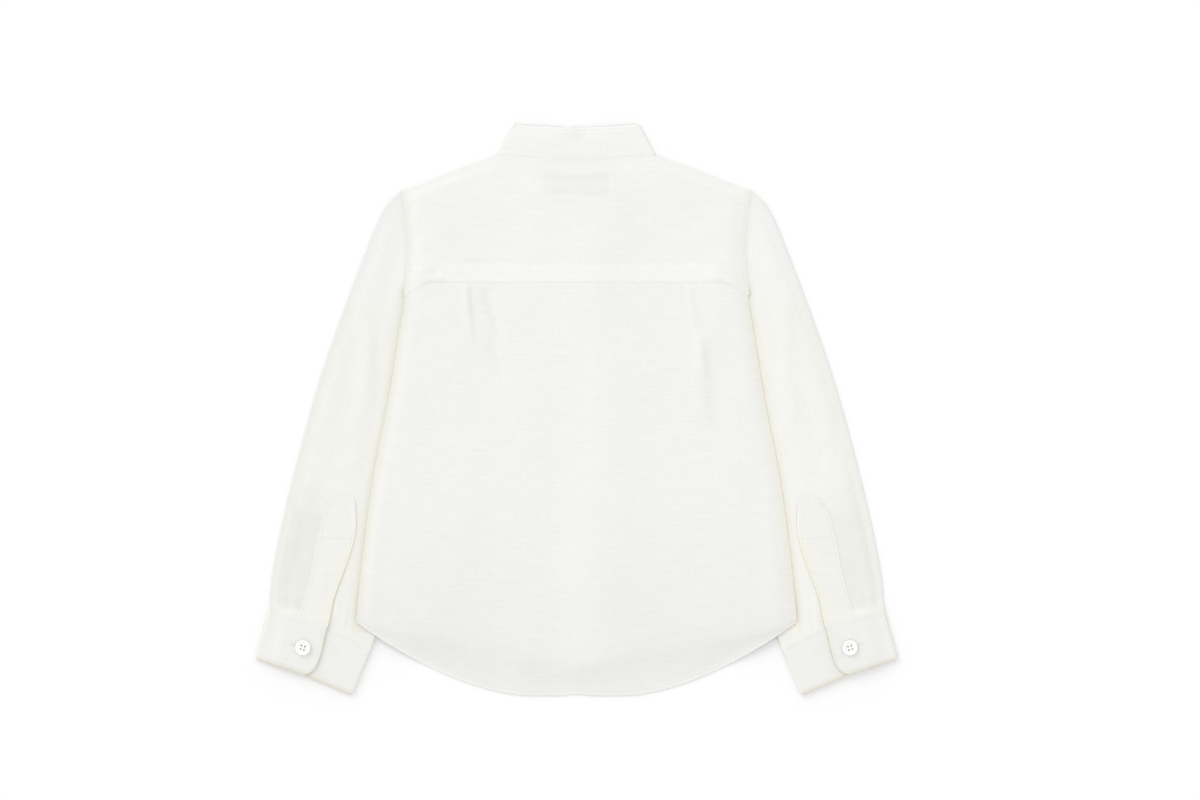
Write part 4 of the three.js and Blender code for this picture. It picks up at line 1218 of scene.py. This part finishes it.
def make_sleeve(side, word):
    alongs = spaced(0.0, 1.0, 0.0085, (SLIT_FROM,))
    arounds = np.concatenate([
        np.linspace(0, 1, 30), 1 + np.linspace(0, 1, 8)[1:],
        2 + spaced(0.0, 1.0, 0.022, SLIT_AT)[1:], 3 + np.linspace(0, 1, 8)[1:],
    ])

    def outside_slit(u, v):
        return not (u > SLIT_FROM and 2 + SLIT_AT[0] < v < 2 + SLIT_AT[1])

    sleeve = cloth_piece(f"Sleeve_{word}", f"sleeve_{word}", alongs, arounds, sleeve_place(side),
                         keep=outside_slit, weld=True)

    shares, rows = np.linspace(0, 1, 15), np.linspace(0, 1, 60)
    strip = cloth_piece(f"Placket_{word}", f"sleeve_placket_{word}", shares, rows,
                        strip_place(side), PLACKET_SHELL)
    under_place = placket_place(side, 0.58, 0.92, 0.29, 0.2, 0.0)
    binding = cloth_piece(f"Slit_binding_{word}", f"slit_binding_{word}", np.linspace(0, 1, 5),
                          np.linspace(0, 1, 40), under_place, 0.28)

    cuff = cloth_piece(f"Cuff_{word}", f"cuff_{word}", stations(40, 8, 24, 8, 24),
                       spaced(0.0, 1.0, 0.06, (0.03, 0.97)), cuff_place(side), BAND_SHELL)


# Buttons

def button_mesh(thickness):
    """Four-hole button with a rounded rim and a dished face, its underside on z = 0."""
    bm = bmesh.new()
    r, rim, floor = BUTTON_R, 1.5, thickness - 0.5
    hub = HOLE_PITCH + HOLE_R + 1.0
    outline = [
        (hub, 0.0), (r - 0.9, 0.0), (r - 0.3, 0.2), (r, 0.7), (r, thickness - 0.6),
        (r - 0.2, thickness - 0.15), (r - 0.6, thickness), (r - rim, thickness - 0.05),
        (r - rim - 0.4, floor + 0.1), (hub, floor),
    ]
    verts = [bm.verts.new((x * MM, 0, z * MM)) for x, z in outline]
    edges = [bm.edges.new(pair) for pair in zip(verts, verts[1:])]
    bmesh.ops.spin(bm, geom=verts + edges, cent=(0, 0, 0), axis=(0, 0, 1), angle=2 * math.pi,
                   steps=48, use_merge=True, use_duplicate=False)
    web = bmesh.new()
    bmesh.ops.create_circle(web, segments=48, radius=hub * MM)
    for sx in (-1, 1):
        for sy in (-1, 1):
            place = Matrix.Translation((sx * HOLE_PITCH * MM, sy * HOLE_PITCH * MM, 0))
            bmesh.ops.create_circle(web, segments=16, radius=HOLE_R * MM, matrix=place)
    bmesh.ops.triangle_fill(web, edges=web.edges[:], use_beauty=True, use_dissolve=False)
    middle_holes = [f for f in web.faces if _in_hole(f.calc_center_median())]
    bmesh.ops.delete(web, geom=middle_holes, context="FACES_ONLY")
    bmesh.ops.recalc_face_normals(web, faces=web.faces)
    extruded = bmesh.ops.extrude_face_region(web, geom=web.faces[:])
    moved = [g for g in extruded["geom"] if isinstance(g, bmesh.types.BMVert)]
    bmesh.ops.translate(web, verts=moved, vec=(0, 0, floor * MM))
    rim_walls = [f for f in web.faces if abs(f.normal.z) < 0.5 and all(
        abs(v.co.xy.length - hub * MM) < 1e-6 for v in f.verts)]
    bmesh.ops.delete(web, geom=rim_walls, context="FACES_ONLY")
    merged = bpy.data.meshes.new("Button web")
    web.to_mesh(merged)
    web.free()
    bm.from_mesh(merged)
    bpy.data.meshes.remove(merged)
    bmesh.ops.remove_doubles(bm, verts=bm.verts, dist=0.01 * MM)
    bmesh.ops.recalc_face_normals(bm, faces=bm.faces)
    return in_order(bm)


def in_order(bm):
    """The same mesh with its faces sorted: spin and extrude list them differently each run."""
    bm.verts.index_update()
    faces = [[vert.index for vert in face.verts] for face in bm.faces]
    mesh = bpy.data.meshes.new("In order")
    mesh.from_pydata([vert.co[:] for vert in bm.verts], [], sorted(faces, key=sorted))
    bm.clear()
    bm.from_mesh(mesh)
    bpy.data.meshes.remove(mesh)
    return bm


def _in_hole(centre):
    x, y = abs(centre.x) / MM - HOLE_PITCH, abs(centre.y) / MM - HOLE_PITCH
    return math.hypot(x, y) < HOLE_R


def make_button(name, thickness, place, flip=False, turn=0.0):
    """A button on the node of the same name, turned or laid face down."""
    bm = button_mesh(thickness)
    if flip:
        bmesh.ops.rotate(bm, verts=bm.verts, cent=(0, 0, thickness / 2 * MM),
                         matrix=Matrix.Rotation(math.pi, 3, "X"))
    bmesh.ops.rotate(bm, verts=bm.verts, cent=(0, 0, 0), matrix=Matrix.Rotation(turn, 3, "Z"))
    bmesh.ops.translate(bm, verts=bm.verts, vec=Vector(place) * MM)
    piece = finish_piece(name, bm, material_named("button"))
    edge = piece.modifiers.new("Soft edges", "BEVEL")
    edge.width = 0.00012
    edge.segments = 2
    edge.limit_method = "ANGLE"
    edge.angle_limit = math.radians(38)
    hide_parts(name.lower())


# Stitching

def add_stitch(bm, place, direction, length=STITCH_LENGTH, width=STITCH_WIDTH,
               height=STITCH_HEIGHT):
    """One thread loop: a short bar with its ends drawn down."""
    x_axis = direction.normalized()
    y_axis = Vector((0, 0, 1)).cross(x_axis).normalized()
    z_axis = x_axis.cross(y_axis)
    turn = Matrix((x_axis, y_axis, z_axis)).transposed().to_4x4()
    size = Matrix.Diagonal((length * MM / 2, width * MM / 2, height * MM / 2, 1))
    where = Matrix.Translation(place * MM) @ turn @ size
    bmesh.ops.create_icosphere(bm, subdivisions=1, radius=1.0, matrix=where)


def stitch_path(bm, points, pitch=STITCH_PITCH, **size):
    """Stitches along a line of places in millimetres, spaced by the pitch."""
    points = [Vector(p) for p in points]
    lengths = [0.0]
    for a, b in zip(points, points[1:]):
        lengths.append(lengths[-1] + (b - a).length)
    count = max(1, int(lengths[-1] // pitch))
    for n in range(count):
        at = (n + 0.5) * lengths[-1] / count
        k = max(i for i in range(len(lengths) - 1) if lengths[i] <= at)
        t = (at - lengths[k]) / max(1e-6, lengths[k + 1] - lengths[k])
        add_stitch(bm, points[k].lerp(points[k + 1], t), points[k + 1] - points[k], **size)


def line_on(place, pairs, offset):
    """Places on a cloth surface at pairs of its own coordinates, raised by the offset."""
    u = np.array([p[0] for p in pairs], float)
    v = np.array([p[1] for p in pairs], float)
    x, y, z, _, _ = place(u, v)
    return list(zip(x, y, z + offset))


def sew(bm, place, offset, *lines):
    """Stitch lines on one surface, each given by pairs of the surface's own coordinates."""
    for pairs in lines:
        stitch_path(bm, line_on(place, pairs, offset))


def finish_stitches(name, bm):
    """Turns stitches into an object of thread."""
    finish_piece(name, bm, material_named("thread"))


def make_stitching():
    top = SHELL / 2 + STITCH_LIFT
    bm = bmesh.new()
    hem_at = 2 - (HEM_DEPTH - 0.7) / HEM_FOLD
    sew(bm, back_place, top, [(u, hem_at) for u in np.linspace(-FLAT_HALF + 2, FLAT_HALF - 2, 160)])
    sew(bm, yoke_place, top, [(u, 0.009) for u in np.linspace(-SEAM_HALF + 3, SEAM_HALF - 3, 150)])
    for edge in (3.2 - SEAM_HALF, SEAM_HALF - 3.2):
        sew(bm, yoke_place, top, [(edge, v) for v in np.linspace(0.03, 0.99, 50)])
    finish_stitches("Stitches_body", bm)

    bm = bmesh.new()
    band = BAND_SHELL / 2 + STITCH_LIFT
    for v in (0.06, 0.93):
        sew(bm, collar_place, band, [(u, v) for u in np.linspace(2.0, 3.0, 60)])
    finish_stitches("Stitches_collar", bm)

    for side, word in SIDES:
        bm = bmesh.new()
        cuff = cuff_place(side)
        for v in (0.07, 0.94):
            sew(bm, cuff, band, [(u, v) for u in np.linspace(0.3, 0.98, 50)],
                [(u, v) for u in np.linspace(4.02, 4.62, 40)])
        down = [(0.05, v) for v in np.linspace(0.07, 0.8, 14)]
        sew(bm, cuff, band, down + [(u, 0.93) for u in np.linspace(0.08, 0.3, 12)])
        sew(bm, strip_place(side), 0.25,
            [(0.09, v) for v in np.linspace(0.06, 0.98, 50)],
            [(0.93, v) for v in np.linspace(0.1, 0.98, 50)],
            [(u, 0.5) for u in np.linspace(0.12, 0.92, 20)])
        buttonhole(bm, side)
        finish_stitches(f"Stitches_sleeve_{word}", bm)


def buttonhole(bm, side):
    """Close satin stitches round the slot of the cuff button, and the button's own thread."""
    along = Vector((-side * 0.95, -0.3, 0)).normalized() * -1
    middle = Vector((side * (CUFF_BUTTON[0] + 2.6), CUFF_BUTTON[1] + 0.9, CUFF_TOP_Z))
    across = Vector((-along.y, along.x, 0))
    for n in range(-17, 18):
        for lane in (-0.75, 0.75):
            add_stitch(bm, middle + along * (n * 0.42) + across * lane, across, 1.2, 0.36, 0.3)
    for end in (-1, 1):
        for lane in (-0.9, -0.3, 0.3, 0.9):
            add_stitch(bm, middle + along * (end * 7.6) + across * lane, along, 1.4, 0.4, 0.34)
    turn = Matrix.Rotation(side * BUTTON_TURN, 3, "Z")
    for dx in (-1, 1):
        centre = Vector((side * CUFF_BUTTON[0], CUFF_BUTTON[1], CUFF_TOP_Z + 1.75))
        hole = centre + turn @ Vector((dx * HOLE_PITCH, 0, 0))
        add_stitch(bm, hole, turn @ Vector((0, 1, 0)), 3.2, 0.6, 0.45)


# Add-on

class BlouseSettings(bpy.types.PropertyGroup):
    """Finish of the blouse."""

    cloth_colour: bpy.props.FloatVectorProperty(
        name="Cloth colour", description="Colour of the ivory cloth", subtype="COLOR", size=3,
        default=(0.803, 0.8075, 0.791), min=0, max=1)
    # Colour of the painted warm shade where layers meet at an edge; in small shares it also gives
    # each piece its own warm tint
    warm_shade: bpy.props.FloatVectorProperty(
        name="Warm shade", description="Tint of the cloth where two layers meet at an edge",
        subtype="COLOR", size=3, default=(1.0, 0.94, 0.76), min=0, max=1)
    thread_colour: bpy.props.FloatVectorProperty(
        name="Thread colour", description="Colour of the sewing thread", subtype="COLOR", size=3,
        default=(0.81, 0.81, 0.78), min=0, max=1)
    button_colour: bpy.props.FloatVectorProperty(
        name="Button colour", description="Colour of the pearly buttons", subtype="COLOR", size=3,
        default=(0.90, 0.90, 0.89), min=0, max=1)
    label_colour: bpy.props.FloatVectorProperty(
        name="Label colour", description="Colour of the blank neck label", subtype="COLOR", size=3,
        default=(0.75, 0.75, 0.75), min=0, max=1)
    thread_pitch: bpy.props.FloatProperty(
        name="Thread pitch", description="Distance between threads of the weave", unit="LENGTH",
        default=0.0007, min=0.0002, max=0.003)
    slub_strength: bpy.props.FloatProperty(
        name="Slub strength", description="How much thick threads change the cloth's tone",
        default=0.048, min=0, max=0.3)
    ground_light: bpy.props.FloatProperty(
        name="Ground light", description="Strength of the even light from all sides",
        default=1.02, min=0, max=5)
    key_light: bpy.props.FloatProperty(
        name="Key light", description="Strength of the soft light from the upper left",
        default=0.62, min=0, max=50)


class BLOUSE_OT_body(bpy.types.Operator):
    """Make the lower back, the yoke, both fronts and the closing bands"""

    bl_idname = "blouse.body"
    bl_label = "Body"

    def execute(self, context):
        make_body()
        return {"FINISHED"}


class BLOUSE_OT_collar(bpy.types.Operator):
    """Make the band collar and the blank neck label"""

    bl_idname = "blouse.collar"
    bl_label = "Collar and label"

    def execute(self, context):
        make_collar()
        return {"FINISHED"}


class BLOUSE_OT_sleeves(bpy.types.Operator):
    """Make both sleeves with their plackets, slit bindings and cuffs"""

    bl_idname = "blouse.sleeves"
    bl_label = "Sleeves and cuffs"

    def execute(self, context):
        for side, word in SIDES:
            make_sleeve(side, word)
        return {"FINISHED"}


class BLOUSE_OT_buttons(bpy.types.Operator):
    """Make the cuff buttons and the hidden buttons of the closing"""

    bl_idname = "blouse.buttons"
    bl_label = "Buttons"

    def execute(self, context):
        for side, word in SIDES:
            place = (side * CUFF_BUTTON[0], CUFF_BUTTON[1], CUFF_TOP_Z + SEAM_GAP - 0.1)
            make_button(f"Cuff_button_{word}", CUFF_BUTTON_T, place, turn=side * BUTTON_TURN)
        for n in range(FRONT_BUTTONS):
            place = (0, FRONT_BUTTON_TOP - n * FRONT_BUTTON_STEP, 0)
            make_button(f"Front_button_{n + 1}", FRONT_BUTTON_T, place, flip=True)
        make_button("Collar_button", FRONT_BUTTON_T, (0, COLLAR_BUTTON_Y, 0), flip=True)
        return {"FINISHED"}


class BLOUSE_OT_stitching(bpy.types.Operator):
    """Sew the stitch lines, the cuff buttonholes and the button threads"""

    bl_idname = "blouse.stitching"
    bl_label = "Stitching"

    def execute(self, context):
        make_stitching()
        return {"FINISHED"}


class BLOUSE_OT_stage(bpy.types.Operator):
    """Set the white floor, the soft lights and the camera above the blouse"""

    bl_idname = "blouse.stage"
    bl_label = "Stage"

    def execute(self, context):
        settings = context.scene.blouse
        mesh = bpy.data.meshes.new("Floor")
        bm = bmesh.new()
        bmesh.ops.create_grid(bm, x_segments=2, y_segments=2, size=FLOOR_HALF)
        bmesh.ops.translate(bm, verts=bm.verts, vec=(0, 0, -FLOOR_DROP))
        bm.to_mesh(mesh)
        bm.free()
        mesh.materials.append(floor_material())
        floor = bpy.data.objects.new("Floor", mesh)
        context.scene.collection.objects.link(floor)

        world = bpy.data.worlds.new("Soft white room")
        world.use_nodes = True
        background = world.node_tree.nodes["Background"]
        background.inputs["Color"].default_value = (1, 1, 1, 1)
        background.inputs["Strength"].default_value = settings.ground_light
        context.scene.world = world

        lamp = bpy.data.lights.new("Key light", "SUN")
        lamp.angle = math.radians(KEY_SPREAD)
        lamp.energy = settings.key_light
        key = bpy.data.objects.new("Key light", lamp)
        context.scene.collection.objects.link(key)
        key.location = KEY_FROM
        key.rotation_euler = (Vector((0, 0, 0)) - key.location).to_track_quat("-Z", "Y").to_euler()

        data = bpy.data.cameras.new("Camera above")
        data.sensor_width = 36.0
        data.lens = data.sensor_width * CAMERA_HEIGHT / (PHOTO_WIDTH * MM_PER_PIXEL * MM)
        data.clip_end = 50.0
        camera = bpy.data.objects.new("Camera above", data)
        context.scene.collection.objects.link(camera)
        aim_x = (PHOTO_WIDTH / 2 - CENTRE_PIXEL[0]) * MM_PER_PIXEL * MM
        aim_y = (CENTRE_PIXEL[1] - PHOTO_HEIGHT / 2) * MM_PER_PIXEL * MM
        camera.location = (aim_x, aim_y, CAMERA_HEIGHT)
        context.scene.camera = camera
        context.scene.view_settings.view_transform = "Standard"
        return {"FINISHED"}


class BLOUSE_PT_sidebar(bpy.types.Panel):
    """Buttons that build the blouse, one for each group of pieces"""

    bl_label = "Blouse"
    bl_idname = "BLOUSE_PT_sidebar"
    bl_space_type = "VIEW_3D"
    bl_region_type = "UI"
    bl_category = "Blouse"

    def draw(self, context):
        for name in BlouseSettings.__annotations__:
            self.layout.prop(context.scene.blouse, name)
        for operator in OPERATORS:
            self.layout.operator(operator.bl_idname)


OPERATORS = (
    BLOUSE_OT_body, BLOUSE_OT_collar, BLOUSE_OT_sleeves, BLOUSE_OT_buttons,
    BLOUSE_OT_stitching, BLOUSE_OT_stage,
)
CLASSES = (BlouseSettings, *OPERATORS, BLOUSE_PT_sidebar)


def register():
    for cls in CLASSES:
        bpy.utils.register_class(cls)
    bpy.types.Scene.blouse = bpy.props.PointerProperty(type=BlouseSettings)


def unregister():
    del bpy.types.Scene.blouse
    for cls in reversed(CLASSES):
        bpy.utils.unregister_class(cls)


def main():
    register()
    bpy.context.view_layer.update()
    bpy.ops.blouse.body()
    bpy.ops.blouse.collar()
    bpy.ops.blouse.sleeves()
    bpy.ops.blouse.buttons()
    bpy.ops.blouse.stitching()
    bpy.ops.blouse.stage()


if __name__ == "__main__":
    main()
